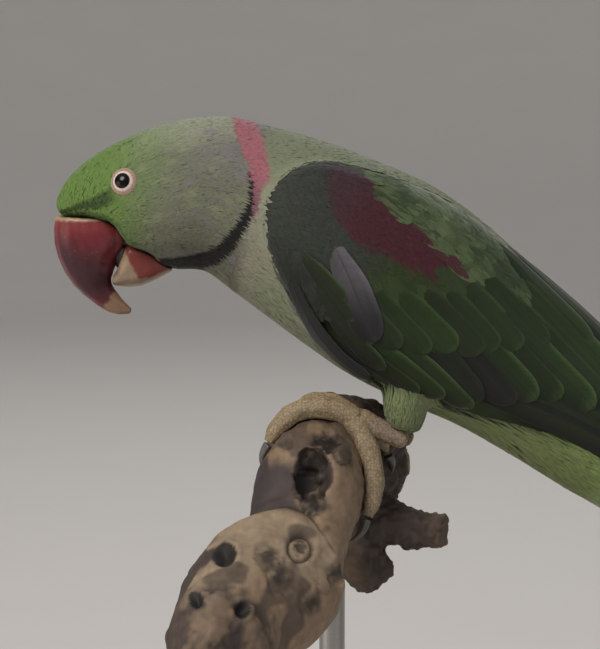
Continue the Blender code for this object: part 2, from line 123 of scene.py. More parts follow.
bodySections = np.array((  # back x z, underside x z, half width
    (-73.4, 37.0, -71.2, 32.4, 6.2), (-70.4, 43.6, -60.5, 30.7, 9.8), (-62.8, 50.5, -54.6, 23.2, 13.6),
    (-51.5, 56.7, -47.0, 18.8, 16.6), (-37.6, 61.4, -37.5, 16.8, 18.8), (-23.6, 63.1, -28.8, 16.4, 18.9),
    (-11.2, 60.6, -19.6, 9.6, 19.6), (6.1, 56.0, -9.7, 2.3, 23.5), (23.6, 49.4, 2.7, -6.9, 26.5),
    (40.9, 41.6, 15.8, -15.8, 27.5), (57.5, 29.5, 33.3, -24.4, 26.5), (71.0, 16.8, 49.0, -31.3, 24.0),
    (84.5, 5.0, 67.3, -42.0, 20.5), (100.5, -10.0, 90.9, -56.2, 18.0), (117.5, -26.5, 111.5, -64.0, 16.4),
    (135.0, -43.5, 131.0, -70.5, 15.7), (154.0, -60.5, 150.5, -78.5, 15.2), (170.0, -74.5, 167.5, -88.0, 14.8),
))
wingSections = np.array((  # station, lower and upper edge in degrees, thickness
    (6.30, 4, 12, 1.6), (6.45, -10, 28, 3.4), (6.75, -22, 43, 4.6), (7.20, -36, 54, 5.2), (8.00, -56, 62, 5.0),
    (9.00, -64, 68, 4.2), (10.0, -61, 72, 3.6), (11.0, -51, 75, 3.2), (12.0, -32, 77, 2.9), (12.8, -12, 78, 2.6),
    (13.6, 6, 78, 2.2), (14.4, 16, 74, 1.8), (15.2, 22, 66, 1.5), (16.0, 28, 56, 1.2), (16.5, 33, 45, 0.9),
))
wingGap = 0.75


def rowsAt(table, at):
    # rows of a table at fractional places, on a smooth curve through all of them
    at = np.asarray(at, float)
    last = len(table) - 1
    i = np.clip(np.floor(at).astype(int), 0, last - 1)
    t = (at - i)[..., None]
    a, b, c, d = (table[np.clip(i + k, 0, last)] for k in (-1, 0, 1, 2))
    return b + 0.5 * t * ((c - a) + t * ((2 * a - 5 * b + 4 * c - d) + t * (3 * b - a - 3 * c + d)))


def onBody(station, up, side, out=0.0):
    # a point on the body, or out mm off it
    station, up, side, out = np.broadcast_arrays(station, up, side, out)
    row = rowsAt(bodySections, station)
    half = (row[..., 0:2] - row[..., 2:4]) / 2
    rise = np.sin(np.radians(up)) * (1 + out / np.linalg.norm(half, axis=-1))
    flat = (row[..., 0:2] + row[..., 2:4]) / 2 + half * rise[..., None]
    wide = np.cos(np.radians(up)) * (row[..., 4] + out) * side
    return np.stack((flat[..., 0], wide, flat[..., 1]), -1)


def acrossWing(station, up):
    # 0 at the folded wing's lower edge and 1 at its upper edge
    low, high = (np.interp(station, wingSections[:, 0], wingSections[:, k]) for k in (1, 2))
    return (up - low) / (high - low)


def wingHeight(station, up):
    # how far the folded wing's surface stands off the body
    thick = np.interp(station, wingSections[:, 0], wingSections[:, 3])
    share = np.clip(acrossWing(station, up), 0, 1)
    return wingGap + np.maximum(thick * (0.22 + 0.78 * np.sqrt(4 * share * (1 - share))), 0.6)


stationGrid = np.linspace(0, 17, 273)
gridRows = rowsAt(bodySections, stationGrid)


def whereOnBody(points):
    # station, degrees up from the side, and how far out as a share of the body's own section
    found = []
    line = gridRows[:, 0:2] - gridRows[:, 2:4]
    for some in np.array_split(points, len(points) // 5000 + 1):
        x = some[:, None, 0] - gridRows[None, :, 2]
        z = some[:, None, 2] - gridRows[None, :, 3]
        behind = x * line[:, 1] - z * line[:, 0]
        k = np.clip((behind > 0).sum(1), 1, len(stationGrid) - 1)
        pick = np.arange(len(some))
        before, after = behind[pick, k - 1], behind[pick, k]
        share = np.clip(before / np.where(before == after, 1, before - after), 0, 1)
        station = stationGrid[k - 1] + share * (stationGrid[k] - stationGrid[k - 1])
        row = rowsAt(bodySections, station)
        half = (row[:, 0:2] - row[:, 2:4]) / 2
        high = np.linalg.norm(half, axis=1)
        rise = ((some[:, [0, 2]] - (row[:, 0:2] + row[:, 2:4]) / 2) * half).sum(1) / high**2
        wide = np.abs(some[:, 1]) / row[:, 4]
        found.append(np.stack((station, np.degrees(np.arctan2(rise, wide)), np.hypot(rise, wide)), 1))
    return np.concatenate(found).T


# Meshes


def placed(name, data):
    piece = bpy.data.objects.new(name, data)
    bpy.context.scene.collection.objects.link(piece)
    return piece


def meshOf(name, places, faces, colours=None, maps=None, material=None):
    # an object from places in bird mm and triangles, with a colour and UV maps for each place
    mesh = bpy.data.meshes.new(name)
    places, faces = np.asarray(places, float).reshape(-1, 3), np.asarray(faces, np.int32)
    mesh.vertices.add(len(places))
    mesh.vertices.foreach_set("co", ((places + birdAt) * 0.001).astype(np.float32).ravel())
    mesh.loops.add(faces.size)
    mesh.loops.foreach_set("vertex_index", faces.ravel())
    mesh.polygons.add(len(faces))
    mesh.polygons.foreach_set("loop_start", np.arange(len(faces), dtype=np.int32) * faces.shape[1])
    mesh.update(calc_edges=True)
    mesh.shade_smooth()
    paint(mesh, colours)
    for mapName, uv in (maps or {}).items():
        layer = mesh.uv_layers.new(name=mapName)
        spread = uv[faces.ravel()] if len(uv) == len(places) else uv
        layer.data.foreach_set("uv", spread.astype(np.float32).ravel())
    if material:
        mesh.materials.append(material)
    return placed(name, mesh)


def paint(mesh, colours):
    if colours is None:
        return
    rgba = np.ones((len(mesh.vertices), 4), np.float32)
    rgba[:, :3] = np.clip(colours, 0, 1).reshape(-1, 3)
    mesh.color_attributes.new("tint", "FLOAT_COLOR", "POINT").data.foreach_set("color", rgba.ravel())


def finish(piece, slotName, *replaced):
    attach(piece, "root")
    if replaced:
        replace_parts(piece, *replaced)
    return piece


def remade(name, nodeNames, grow, voxel, smoothing):
    # the nodes as one closed fine mesh: grown by mm, so gaps close, remeshed, and smoothed this many times
    work = bmesh.new()
    for nodeName in nodeNames:
        part = bmesh.new()
        part.from_mesh(nodes[nodeName].data)
        bmesh.ops.remove_doubles(part, verts=part.verts, dist=1e-6)
        bmesh.ops.recalc_face_normals(part, faces=part.faces)
        part.normal_update()
        ups = [v.normal.copy() for v in part.verts]
        for v, up in zip(part.verts, ups):
            v.co += up * grow * 0.001
        whole = bpy.data.meshes.new("part")
        part.to_mesh(whole)
        part.free()
        work.from_mesh(whole)
        bpy.data.meshes.remove(whole)
    mesh = bpy.data.meshes.new(name)
    work.to_mesh(mesh)
    work.free()
    piece = placed(name, mesh)
    remesh = piece.modifiers.new("remesh", "REMESH")
    remesh.mode, remesh.voxel_size, remesh.use_smooth_shade = "VOXEL", voxel * 0.001, True
    if smoothing:
        smoother = piece.modifiers.new("smooth", "SMOOTH")
        smoother.factor, smoother.iterations = 0.5, smoothing
    fine = bpy.data.meshes.new_from_object(piece.evaluated_get(bpy.context.evaluated_depsgraph_get()))
    piece.modifiers.clear()
    piece.data = fine
    fine.name = name
    bpy.data.meshes.remove(mesh)
    return piece


def placesOf(mesh):
    values = np.empty(len(mesh.vertices) * 3, np.float32)
    mesh.vertices.foreach_get("co", values)
    return values.reshape(-1, 3).astype(float) * 1000 - birdAt


def normalsOf(mesh):
    values = np.empty(len(mesh.vertices) * 3, np.float32)
    mesh.vertex_normals.foreach_get("vector", values)
    return values.reshape(-1, 3).astype(float)


def putPlaces(mesh, places):
    mesh.vertices.foreach_set("co", ((places + birdAt) * 0.001).astype(np.float32).ravel())
    mesh.update()


# Materials


def plug(node, **links):
    # joins sources to a node; a link's name is its socket's name with _ for a space, or input and its number
    for key, source in links.items():
        socket = node.inputs[int(key[5:])] if key.startswith("input") else node.inputs[key.replace("_", " ")]
        node.id_data.links.new(source, socket)
    return node


def addNode(tree, kind, settings=None, **links):
    node = tree.nodes.new("ShaderNode" + kind)
    for key, value in (settings or {}).items():
        if isinstance(key, str) and hasattr(node, key):
            setattr(node, key, value)
        else:
            node.inputs[key].default_value = value
    return plug(node, **links)


def newMaterial(name, **settings):
    material = bpy.data.materials.new(name)
    material.use_nodes = True
    shader = material.node_tree.nodes["Principled BSDF"]
    for key, value in settings.items():
        shader.inputs[key.replace("_", " ")].default_value = value
    return material, material.node_tree, shader


def texture(shader, tint, shade, height, strength, depth):
    # the tint times a fine pattern, with relief of this depth in metres over it
    tree = shader.id_data
    colour = addNode(tree, "Mix", {"data_type": "RGBA", "blend_type": "MULTIPLY", 0: 1.0}, input6=tint,
                     input7=shade.outputs[0])
    bump = addNode(tree, "Bump", {"Strength": strength, "Distance": depth}, Height=height)
    plug(shader, Base_Color=colour.outputs[2], Normal=bump.outputs[0])


def featherVane(name, barb, barbDepth, sheen, roughness, mottle):
    # Overlapping barbs of keratin over a pale down. They scatter light softly along the vane and give a faint
    # silky sheen at the edges. Real barbs stand 0.3 to 0.5 mm apart; they are drawn a little coarser to show.
    material, tree, shader = newMaterial(name, Roughness=roughness, Sheen_Weight=sheen, Sheen_Roughness=0.4,
                                         Specular_IOR_Level=0.22, IOR=1.54)
    tint = addNode(tree, "Attribute", {"attribute_name": "tint"})
    vane = addNode(tree, "UVMap", {"uv_map": "vane"})  # across and along each feather, in cm
    parts = addNode(tree, "SeparateXYZ", Vector=vane.outputs[0])
    across = addNode(tree, "Math", {"operation": "ABSOLUTE"}, input0=parts.outputs[0])
    slant = addNode(tree, "Math", {"operation": "MULTIPLY_ADD", 1: -0.9}, input0=across.outputs[0],
                    input2=parts.outputs[1])
    lines = addNode(tree, "CombineXYZ", {2: 0.0}, X=slant.outputs[0], Y=across.outputs[0])
    drawn = addNode(tree, "Mapping", {"Scale": (10 / barb, 1.2 / barb, 1)}, Vector=lines.outputs[0])
    barbs = addNode(tree, "TexNoise", {"Scale": 1.0, "Detail": 2.0}, Vector=drawn.outputs[0])
    stretched = addNode(tree, "Mapping", {"Scale": (16, 2.2, 1)}, Vector=vane.outputs[0])
    streak = addNode(tree, "TexNoise", {"Scale": 0.25, "Detail": 3.0}, Vector=stretched.outputs[0])
    both = addNode(tree, "Math", {"operation": "MULTIPLY"}, input0=barbs.outputs["Fac"], input1=streak.outputs["Fac"])
    shade = addNode(tree, "MapRange", {"From Min": 0.12, "From Max": 0.4, "To Min": 1 - mottle, "To Max": 1 + mottle},
                    Value=both.outputs[0])
    texture(shader, tint.outputs["Color"], shade, both.outputs[0], 0.5, barbDepth * 0.001)
    return material


def hornMaterial(name, roughness, coat, grain, **more):
    # layered keratin: smooth and a little translucent, with fine growth lines
    material, tree, shader = newMaterial(name, Roughness=roughness, Coat_Weight=coat, Coat_Roughness=0.25, IOR=1.54,
                                         **more)
    tint = addNode(tree, "Attribute", {"attribute_name": "tint"})
    spot = addNode(tree, "TexCoord")
    noise = addNode(tree, "TexNoise", {"Scale": grain, "Detail": 4.0}, Vector=spot.outputs["Object"])
    shade = addNode(tree, "MapRange", {"From Min": 0.3, "From Max": 0.7, "To Min": 0.88, "To Max": 1.12},
                    Value=noise.outputs["Fac"])
    texture(shader, tint.outputs["Color"], shade, noise.outputs["Fac"], 0.35, 0.0001)
    return material


print("skin")

# One skin under the whole coat. Its outline first, then the coat's depth is taken off.

skinForm = {"grow": 0.35, "voxel": 1.1, "smoothing": 6, "fillRounds": 40, "fillLift": 0.45, "faceNarrowing": 0.62}
fleshNodes = ["head", "neck", "trunk", "tail_coverts", "leg_left_thigh", "leg_right_thigh"]
fleshNodes += [f"wing_{side}_{part}" for side, sign in sides for part in ("shoulder", "secondaries", "primaries")]
skin = remade("skin", fleshNodes + ["eye_left", "eye_right"], *(skinForm[k] for k in ("grow", "voxel", "smoothing")))
outline = placesOf(skin.data)
outline -= normalsOf(skin.data) * skinForm["grow"]
billEdge = np.array((  # x and z of the feathers' edge round the bill
    (-74, 31.9), (-65, 32.4), (-57, 31.3), (-55.3, 30.2), (-54.5, 28.8), (-52.6, 26.0), (-50.8, 23.9), (-46.3, 22.4),
    (-42.7, 20.9), (-38.0, 18.6), (-30.0, 8.0),
))


def belowBillEdge(points):
    # mm below the feathers' edge, so over 0 on the bill
    return np.interp(points[:, 0], *billEdge.T) - points[:, 2]


def acrossQuads(points):
    # the cross product of each quad's diagonals
    a, b, c, d = (points[quads[:, k]] for k in range(4))
    return np.cross(c - a, d - b)


besideBill = ease(belowBillEdge(outline), -2.8, 0.7) * (1 - ease(outline[:, 0], -46, -40))
outline[:, 1] *= 1 - skinForm["faceNarrowing"] * besideBill
quadCorners = np.empty(len(skin.data.loops), np.int32)
skin.data.loops.foreach_get("vertex_index", quadCorners)
quads = quadCorners.reshape(-1, 4)
outlineNormals = np.zeros_like(outline)
for corner in range(4):
    np.add.at(outlineNormals, quads[:, corner], acrossQuads(outline))
outlineNormals = unit(outlineNormals)
quadNormals = unit(outlineNormals[quads].mean(1))
outlineSurface = (BVHTree.FromPolygons(outline.tolist(), quads.tolist()), quadNormals)
skinStation, skinUp, skinOut = whereOnBody(outline)
print("skin places", len(outline))


def blurred(values, rounds):
    # values of the outline's places, each round averaged with their neighbours
    a, b = quads.ravel(), np.roll(quads, -1, 1).ravel()
    count = np.bincount(a) + np.bincount(b)
    for _ in range(rounds):
        values = (np.bincount(a, values[b]) + np.bincount(b, values[a])) / count
    return values


def smoothed(points, rounds, lift):
    # the same net with its creases filled, for feathers too wide to follow them
    points = np.stack([blurred(axis, rounds) for axis in points.T], 1)
    return points + outlineNormals * lift, unit(acrossQuads(points))


smoothPlaces, smoothNormals = smoothed(outline, skinForm["fillRounds"], skinForm["fillLift"])
smoothSurface = (BVHTree.FromPolygons(smoothPlaces.tolist(), quads.tolist()), smoothNormals)

covertUps = (-60, -36, -24, -14, -5, 0, 6, 12, 20, 30, 45, 60, 75)  # where the small wing feathers end
covertEnds = (8.6, 7.2, 7.3, 7.9, 8.7, 9.2, 9.6, 10.0, 10.3, 10.5, 10.9, 11.3, 11.4)
eyeNormal = unit(np.array((-0.25, -0.93, 0.27)))
eyeCentre = np.array((-51.0, -11.6, 43.2))
eyeFront = eyeCentre + eyeNormal * 5.0  # the eyeball's radius
legAxis = {}  # for each side, the thigh's top and foot
for side, sign in sides:
    low, high = boxOf(f"leg_{side}_thigh")
    middle = (low[1] + high[1]) / 2
    legAxis[sign] = (np.array((34.0, middle - sign * 0.95, -5.0)), np.array((high[0] - 6, middle, low[2])))


def mirrored(points):
    # every point moved to the left side
    return points * np.where(points[:, 1:2] > 0, (1, -1, 1), (1, 1, 1))


def legShare(points, out):
    # 1 on a feathered thigh and 0 on the body
    share = np.zeros(len(points))
    for sign, (top, foot) in legAxis.items():
        along = np.clip((points - top) @ (foot - top) / ((foot - top) @ (foot - top)), 0, 1)
        away = np.linalg.norm(points - top - along[:, None] * (foot - top), axis=1)
        share = np.maximum(share, (1 - ease(away, 8.5, 10)) * ease(out, 1.02, 1.1))
    return share


coatDepths = ((0, 0.28), (1.5, 0.3), (3, 0.35), (4.5, 0.45), (6, 0.55), (8, 0.8), (12, 1.4), (15, 1.8), (17, 1.6))


def coatDepth(station, up, out):
    # from the skin to the outline, in mm: least on the face and under the small wing feathers
    inWing = (acrossWing(station, up) > 0) & (acrossWing(station, up) < 1) & (station > 6.3) & (station < 16.5)
    depth = np.interp(station, *np.transpose(coatDepths))
    underQuills = 0.5 + 1.1 * ease(station - np.interp(up, covertUps, covertEnds), -0.7, 0.2)
    return np.where(inWing & (out > 1.02), underQuills, depth)


def lieOf(points, normals, station, up, out):
    # the way the feathers lie: back from the bill, round the eyes, along the body and down the thighs
    sign = np.where(points[:, 1] > 0, 1.0, -1.0)
    way = unit(onBody(np.minimum(station + 0.1, 17), up, sign) - onBody(np.maximum(station - 0.1, 0), up, sign))
    fromBill = points - (-67.0, 0.0, 27.0)
    near = 1 - ease(np.linalg.norm(fromBill, axis=1), 14, 44)
    way = way * (1 - near[:, None]) + unit(fromBill) * near[:, None]
    fromEye = points - eyeFront * np.stack((sign * 0 + 1, -sign, sign * 0 + 1), 1)
    close = np.exp(-np.maximum(np.linalg.norm(fromEye, axis=1) - 4, 0) / 2.5)
    way = way + unit(fromEye) * close[:, None] * 1.1
    leg = legShare(points, out)
    leftDown, rightDown = (unit(legAxis[sign][1] - legAxis[sign][0]) for sign in (-1, 1))
    down = np.where(points[:, 1:2] > 0, rightDown, leftDown)
    way = way * (1 - leg[:, None]) + down * leg[:, None]
    way -= normals * dot(way, normals)
    return unit(way)


# Markings, as an adult male wears them, with painted light and shade on the head. All are the same on both sides.

plumage = {
    "forehead": "#627f40", "lores": "#324425", "crown": "#8a8f7c", "cheek": "#6e7162",
    "cheekLowShade": "#646657", "nape": "#757570", "collar": "#9d646d", "collarDeep": "#72505b",
    "stripe": "#131214", "throat": "#858576", "breast": "#7f866f", "belly": "#7a8759", "mantle": "#767e67",
    "back": "#64724d", "scapular": "#4f5c3e", "shoulder": "#323732", "shoulderDeep": "#202521",
    "maroon": "#422027", "maroonDeep": "#3c2a31", "fresh": "#34442a", "covert": "#2c391d", "flight": "#1d2815",
    "rump": "#5f7d42", "undertail": "#71834f", "thigh": "#76835e",
}
tints = {key: linear(code) for key, code in plumage.items()}
collarUps = (-12, 0, 15, 30, 45, 60, 80, 90)
collarFront = (6.12, 6.06, 6.0, 5.85, 5.55, 5.32, 5.25, 5.25)
collarBack = (6.11, 6.18, 6.26, 6.3, 6.18, 6.03, 5.85, 5.8)
stripeLine = np.array((  # x, z and half width
    (-15.1, 47.4, 0.2), (-14.4, 43.0, 0.4), (-14.6, 38.0, 0.8), (-15.6, 34.4, 1.2), (-17.4, 31.4, 1.6),
    (-19.7, 27.9, 1.9), (-22.4, 24.4, 2.2), (-26.1, 21.5, 2.5), (-32.4, 19.4, 2.7), (-37.1, 19.2, 2.2),
    (-41.0, 20.0, 1.2),
))
maroonStations = (7.15, 7.35, 7.6, 7.9, 8.1, 8.35, 8.6, 9.0, 9.3, 9.6, 9.9)
maroonTop = (40, 46, 46, 42, 36, 39, 35, 31, 28.5, 27, 25.5)
maroonFoot = (36, 25, 18, 12, 11, 12, 13.5, 13.5, 12.5, 16, 24)
scapularStations = (7.4, 7.6, 7.75, 8.0, 8.1, 8.35, 8.6, 9.0, 9.3, 9.6, 9.9, 10.4)
scapularEdge = (58, 52, 48, 38, 34, 38, 34, 30, 27.5, 26, 26, 34)


def tintOf(tint):
    # a colour as it is, or from its hex value or its name in the plumage
    if isinstance(tint, str):
        return linear(tint) if tint[0] == "#" else tints[tint]
    return tint


def over(base, *layers):
    # lays tints over a base, each followed by its share from 0 to 1
    for tint, share in zip(layers[::2], layers[1::2]):
        base = base + (tintOf(tint) - base) * np.asarray(share)[..., None]
    return base


def wash(count, tint):
    return np.repeat(tintOf(tint)[None], count, 0)


def stripeShare(points):
    flat = points[:, [0, 2]]
    share = np.zeros(len(points))
    for (x0, z0, w0), (x1, z1, w1) in zip(stripeLine, stripeLine[1:]):
        run = np.array((x1 - x0, z1 - z0))
        t = np.clip((flat - (x0, z0)) @ run / (run @ run), 0, 1)
        away = np.linalg.norm(flat - (x0, z0) - t[:, None] * run, axis=1)
        half = w0 + (w1 - w0) * t
        share = np.maximum(share, 1 - ease(away, half * 0.8, half * 1.15 + 0.15))
    return share


def plumageAt(points, station, up, out, winged):
    # the coat's colour at these places, before each feather's own small difference; winged says which are on the wing
    count, mirror = len(points), mirrored(points)
    wobble, fine = cloud(mirror, 7.0, 3) - 0.5, cloud(mirror, 2.2, 5) - 0.5
    s, u = station + 0.16 * wobble, up + 7 * wobble + 4 * fine
    drift = cloud(np.stack((station * 3.0 + up * 0.02, up * 0.22, 0 * up), 1), 1.0, 21) - 0.5
    # head
    faceFrom = np.interp(u, (-40, -10, 20, 60), (1.8, 2.1, 2.3, 2.3))
    faceTo = np.interp(u, (-40, -10, 20, 60), (3.8, 4.1, 4.5, 4.7))
    loreUp = np.interp(s, (0.5, 1.5, 2.5), (-8, 0, 10))
    # the darker lower cheek is painted shade, and the paler crown on top is partly its own grey wash and partly painted
    # light
    colour = over(
        wash(count, "cheek"), "cheekLowShade", 1 - ease(u, -45, -5),
        "nape", ease(s, 4.0, 5.3) * ease(u, 5, 30),
        "crown", ease(u, 30, 62) * (1 - ease(s, 5.2, 5.7)),
        "forehead", 1 - ease(s, faceFrom, faceTo),
        tints["nape"] * (1.05, 0.95, 1.25), ease(drift, 0.05, 0.35) * ease(s, 3.4, 4.6) * 0.5,
        tints["crown"] * (0.9, 0.95, 0.75), ease(-drift, 0.05, 0.35) * ease(s, 2.6, 3.6) * 0.45,
        "lores", (1 - ease(np.abs(u - loreUp), 5, 12)) * (1 - ease(s, 2.2, 2.7)) * 0.85)
    # neck, breast and belly
    body = over(
        wash(count, "breast"), "throat", 1 - ease(s, 6.0, 7.0),
        "mantle", ease(u, 8, 40),
        "back", ease(u, 25, 55) * ease(s, 7.8, 9.4),
        "belly", ease(s, 8.3, 10.5) * (1 - ease(u, -20, 10)),
        "undertail", ease(s, 11.2, 13.5) * (1 - ease(u, -10, 20)),
        "rump", ease(s, 11.5, 13) * ease(u, 0, 30),
        "thigh", legShare(points, out))
    # folded wing
    edge = np.interp(s, scapularStations, scapularEdge)
    above = ease(u, edge - 1, edge + 3)
    top, foot = np.interp(s, maroonStations, maroonTop), np.interp(s, maroonStations, maroonFoot)
    patch = ease(u, foot - 2.5, foot + 2.5) * (1 - ease(u, top, top + 3)) * ease(s, 7.1, 7.4) * (1 - ease(s, 9.7, 9.95))
    blots = cloud(np.stack((station * 4, up * 0.8, 0 * up), 1), 1.0, 14)
    mottled = cloud(mirror, 4.0, 12) + 0.6 * blots - 0.8
    cover = over(
        wash(count, "shoulder"), "shoulderDeep", 1 - ease(u, -30, 5),
        "covert", ease(s + 0.012 * (20 - u), 8.2, 9.0),
        over(wash(count, "maroonDeep"), "maroon", ease(s + 0.01 * (30 - u), 7.4, 8.2)), patch,
        "scapular", above * ease(s, 7.3, 7.7),
        "fresh", above * ease(s - 0.006 * u + 0.8 * drift, 8.4, 10.2),
        tints["fresh"] * 0.55, above * ease(mottled, 0.0, 0.35) * 0.75,
        tints["scapular"] * 1.25, above * ease(-mottled, 0.05, 0.35) * 0.5,
        "flight", ease(s, 10.8, 12))
    colour = over(colour, over(body, cover, np.full(count, winged, float)), ease(s, 5.9, 6.15))
    # collar and stripe
    front, rear = np.interp(up, collarUps, collarFront), np.interp(up, collarUps, collarBack)
    frayed = station + 0.10 * fine
    pink = ease(frayed, front - 0.03, front + 0.05) * (1 - ease(frayed, rear - 0.07, rear + 0.03)) * ease(up, -6, 0)
    under = ease(-up, 52, 60) * ease(station, 3.85, 4.05) * (1 - ease(station, 4.95, 5.05))
    black = np.maximum(stripeShare(points + fine[:, None] * 0.5), under * (station < 5.6))
    return over(colour, over(wash(count, "collar"), "collarDeep", 1 - ease(up, 5, 30)), pink,
                "stripe", black * 0.97)


def isWing(points, station, up, out):
    # whether each place is on the folded wing
    across = acrossWing(station, up)
    onSide = (across > 0.01) & (across < 0.99) & (station > 6.34) & (station < 16.5) & (out > 1.03)
    return onSide & (legShare(points, out) < 0.5)


wingShare = blurred(isWing(outline, skinStation, skinUp, skinOut).astype(float), 8)
putPlaces(skin.data, outline - outlineNormals * coatDepth(skinStation, skinUp, skinOut)[:, None])
paint(skin.data, plumageAt(outline, skinStation, skinUp, skinOut, wingShare > 0.5) * 0.92)


def unwrapOf(points, station, up, low=0.0, high=17.0):
    # the body's own unwrap: stations along it and degrees round it
    turn = np.where(points[:, 1] > 0, up, 180 - up) % 360
    turn = (turn + 90) % 360
    return np.stack(((station - low) / (high - low), turn / 360), 1) * 0.98 + 0.01


loopMap = unwrapOf(outline, skinStation, skinUp)[quads.ravel()].reshape(-1, 4, 2)
split = (loopMap[..., 1].max(1) - loopMap[..., 1].min(1)) > 0.5
loopMap[split, :, 1] = np.where(loopMap[split, :, 1] < 0.5, 0.99, loopMap[split, :, 1])
skin.data.uv_layers.new(name="OFBake").data.foreach_set("uv", loopMap.astype(np.float32).ravel())


def onOutline(points, surface=outlineSurface):
    # the nearest place on the body's outline, and the way out there
    finder, outward = surface
    places, faces = np.empty_like(points), np.empty(len(points), int)
    for k, point in enumerate(points.tolist()):
        place, _, face, _ = finder.find_nearest(point)
        places[k], faces[k] = place, face
    return places, outward[faces]


# The small feathers

# each shape's rings along its length and their widths, and the section's corners as shares of the half width
plume = {"along": (0.0, 0.38, 0.75), "wide": (0.55, 1.0, 0.62), "section": ((-1, -0.2), (0, 1), (1, -0.2))}
vane = {"along": (0.0, 0.25, 0.52, 0.76, 0.93), "wide": (0.35, 0.82, 1.0, 0.86, 0.5),
        "section": ((-1, -0.6), (0, 1), (1, -0.6), (0, 0.0))}


def soften(mesh, ups, share):
    # bends each feather's shading part of the way to the body under it, as light spreads between real feathers
    own = normalsOf(mesh)
    mesh.normals_split_custom_set_from_vertices(unit(own * (1 - share) + ups * share).tolist())


tailRoot = {"from": 15.5, "to": 16.9, "openFrom": 16.5, "rootsFrom": 100.0}  # stations, and x of the first roots
tailEnds = onBody(np.array([tailRoot["from"], tailRoot["to"]]), np.zeros(2), 0.0)
tailWay = unit(tailEnds[1] - tailEnds[0])


def sheathe(name, shape, roots, normals, ways, lengths, widths, thick, depths, colours, uv, material, surface,
            tipLift=0.08, softness=0.75, rootLight=0.85, patchSize=0.003):
    # builds one closed feather at every root, rising from the skin to the outline on its way back
    count, rings, corners = len(roots), len(shape["along"]), len(shape["section"])
    stops = np.array(shape["along"] + (1.0,))
    at, up, way = roots, normals, ways
    centres, ups, runs = [], [], []
    for k, stop in enumerate(stops):
        if k:
            step = lengths * (stop - stops[k - 1])
            free = at + way * step[:, None]
            at, nextUp = onOutline(free, surface)
            # past the body's end the feathers run on freely, and close in on the tail
            off = ((whereOnBody(free)[0] > tailRoot["openFrom"]) & (roots[:, 0] > tailRoot["rootsFrom"]))[:, None]
            at = np.where(off, free, at)
            up = np.where(off, up, nextUp)
            way = unit(np.where(off, 0.35 * way + 0.65 * tailWay - 0.1 * up, way - up * dot(way, up)))
        sunk = depths * (1 - stop ** 0.6) - tipLift * stop
        centres.append(at - up * sunk[:, None])
        ups.append(up)
        runs.append(way)
    sideways = [unit(np.cross(run, n)) for run, n in zip(runs, ups)]
    section = np.array(shape["section"])
    points = np.empty((count, rings * corners + 1, 3))
    flat = np.empty((count, rings * corners + 1, 2))
    for k in range(rings):
        wide = widths * shape["wide"][k] / 2
        for c, (x, y) in enumerate(section):
            points[:, k * corners + c] = centres[k] + sideways[k] * (x * wide)[:, None] + ups[k] * (y * thick / 2)
            flat[:, k * corners + c, 0] = x * wide
            flat[:, k * corners + c, 1] = lengths * stops[k]
    points[:, -1] = centres[-1]
    flat[:, -1, 0], flat[:, -1, 1] = 0, lengths
    faces = []
    for k in range(rings - 1):
        for c in range(corners):
            a, b = k * corners + c, k * corners + (c + 1) % corners
            if c < 2:
                faces += [(a, b, b + corners), (a, b + corners, a + corners)]
            else:  # the underside is split the same way as the upper side, so it never comes through it
                faces += [(a, b, a + corners), (b, b + corners, a + corners)]
    last = (rings - 1) * corners
    faces += [(last + c, last + (c + 1) % corners, rings * corners) for c in range(corners)]
    faces += [(0, c + 1, c) for c in range(1, corners - 1)]
    faces = np.array(faces)
    each = rings * corners + 1
    allFaces = (faces[None] + np.arange(count)[:, None, None] * each).reshape(-1, 3)
    along = np.concatenate((np.repeat(stops[:-1], corners), stops[-1:]))
    light = np.interp(along, (0, 0.4, 0.8, 1.0), (rootLight, 0.5 + rootLight / 2, 1.02, 1.07))
    tone = colours[:, None, :] * light[None, :, None]
    spread = flat / np.maximum(lengths, 1e-6)[:, None, None]
    patch = uv[:, None, :] + (spread - (0, 0.5)) * patchSize
    print(name, count, "feathers", len(allFaces), "triangles")
    piece = meshOf(name, points, allFaces, tone.reshape(-1, 3),
                   {"OFBake": patch.reshape(-1, 2), "vane": flat.reshape(-1, 2) / 10}, material)
    ringUps = np.concatenate([np.repeat(u[:, None], corners, 1) for u in ups[:-1]] + [ups[-1][:, None]], 1)
    soften(piece.data, ringUps.reshape(-1, 3), softness)
    return piece


quadPlaces = outline[quads].mean(1)
quadAreas = np.linalg.norm(acrossQuads(outline), axis=1) / 2
quadStation, quadUp, quadOut = whereOnBody(quadPlaces)
quadAcross = acrossWing(quadStation, quadUp)
quadLeg = legShare(quadPlaces, quadOut)
quadWing = wingShare[quads].mean(1) > 0.5
underWing = (quadAcross > 0.02) & (quadAcross < 0.98) & (quadStation < 16.4)
endWay = unit(np.subtract(*(onBody(np.array([station]), np.array([0.0]), 1.0) for station in (16.9, 16.4))))
onEnd = (dot(quadNormals, endWay)[:, 0] > 0.5) & (quadStation > 16)
quadEye = np.linalg.norm(mirrored(quadPlaces) - eyeFront, axis=1)


def rootsIn(where, spacing, even=0.0):
    # random places on the outline's quads, one for each spacing squared, thinned to be even
    weight = quadAreas * where / np.asarray(spacing) ** 2
    total = weight.sum()
    count = int(total * (1 + 3 * even))
    picked = dice.choice(len(quads), count, p=weight / total)
    a, b = dice.random((2, count, 1))
    corners = outline[quads[picked]]
    near, far = corners[:, 0] * (1 - a) + corners[:, 1] * a, corners[:, 3] * (1 - a) + corners[:, 2] * a
    places = near * (1 - b) + far * b
    if even:
        cell = np.floor(places / (np.broadcast_to(spacing, len(quads))[picked] * 0.95)[:, None]).astype(np.int64)
        places = places[np.unique(cell, axis=0, return_index=True)[1]]
    return places


softFeathers = featherVane("barb feathers of the head and breast, soft and loose", 0.5, 0.05, 0.2, 0.8, 0.10)
firmFeathers = featherVane("contour feathers of the wing and back, zipped vanes", 0.45, 0.06, 0.25, 0.62, 0.12)

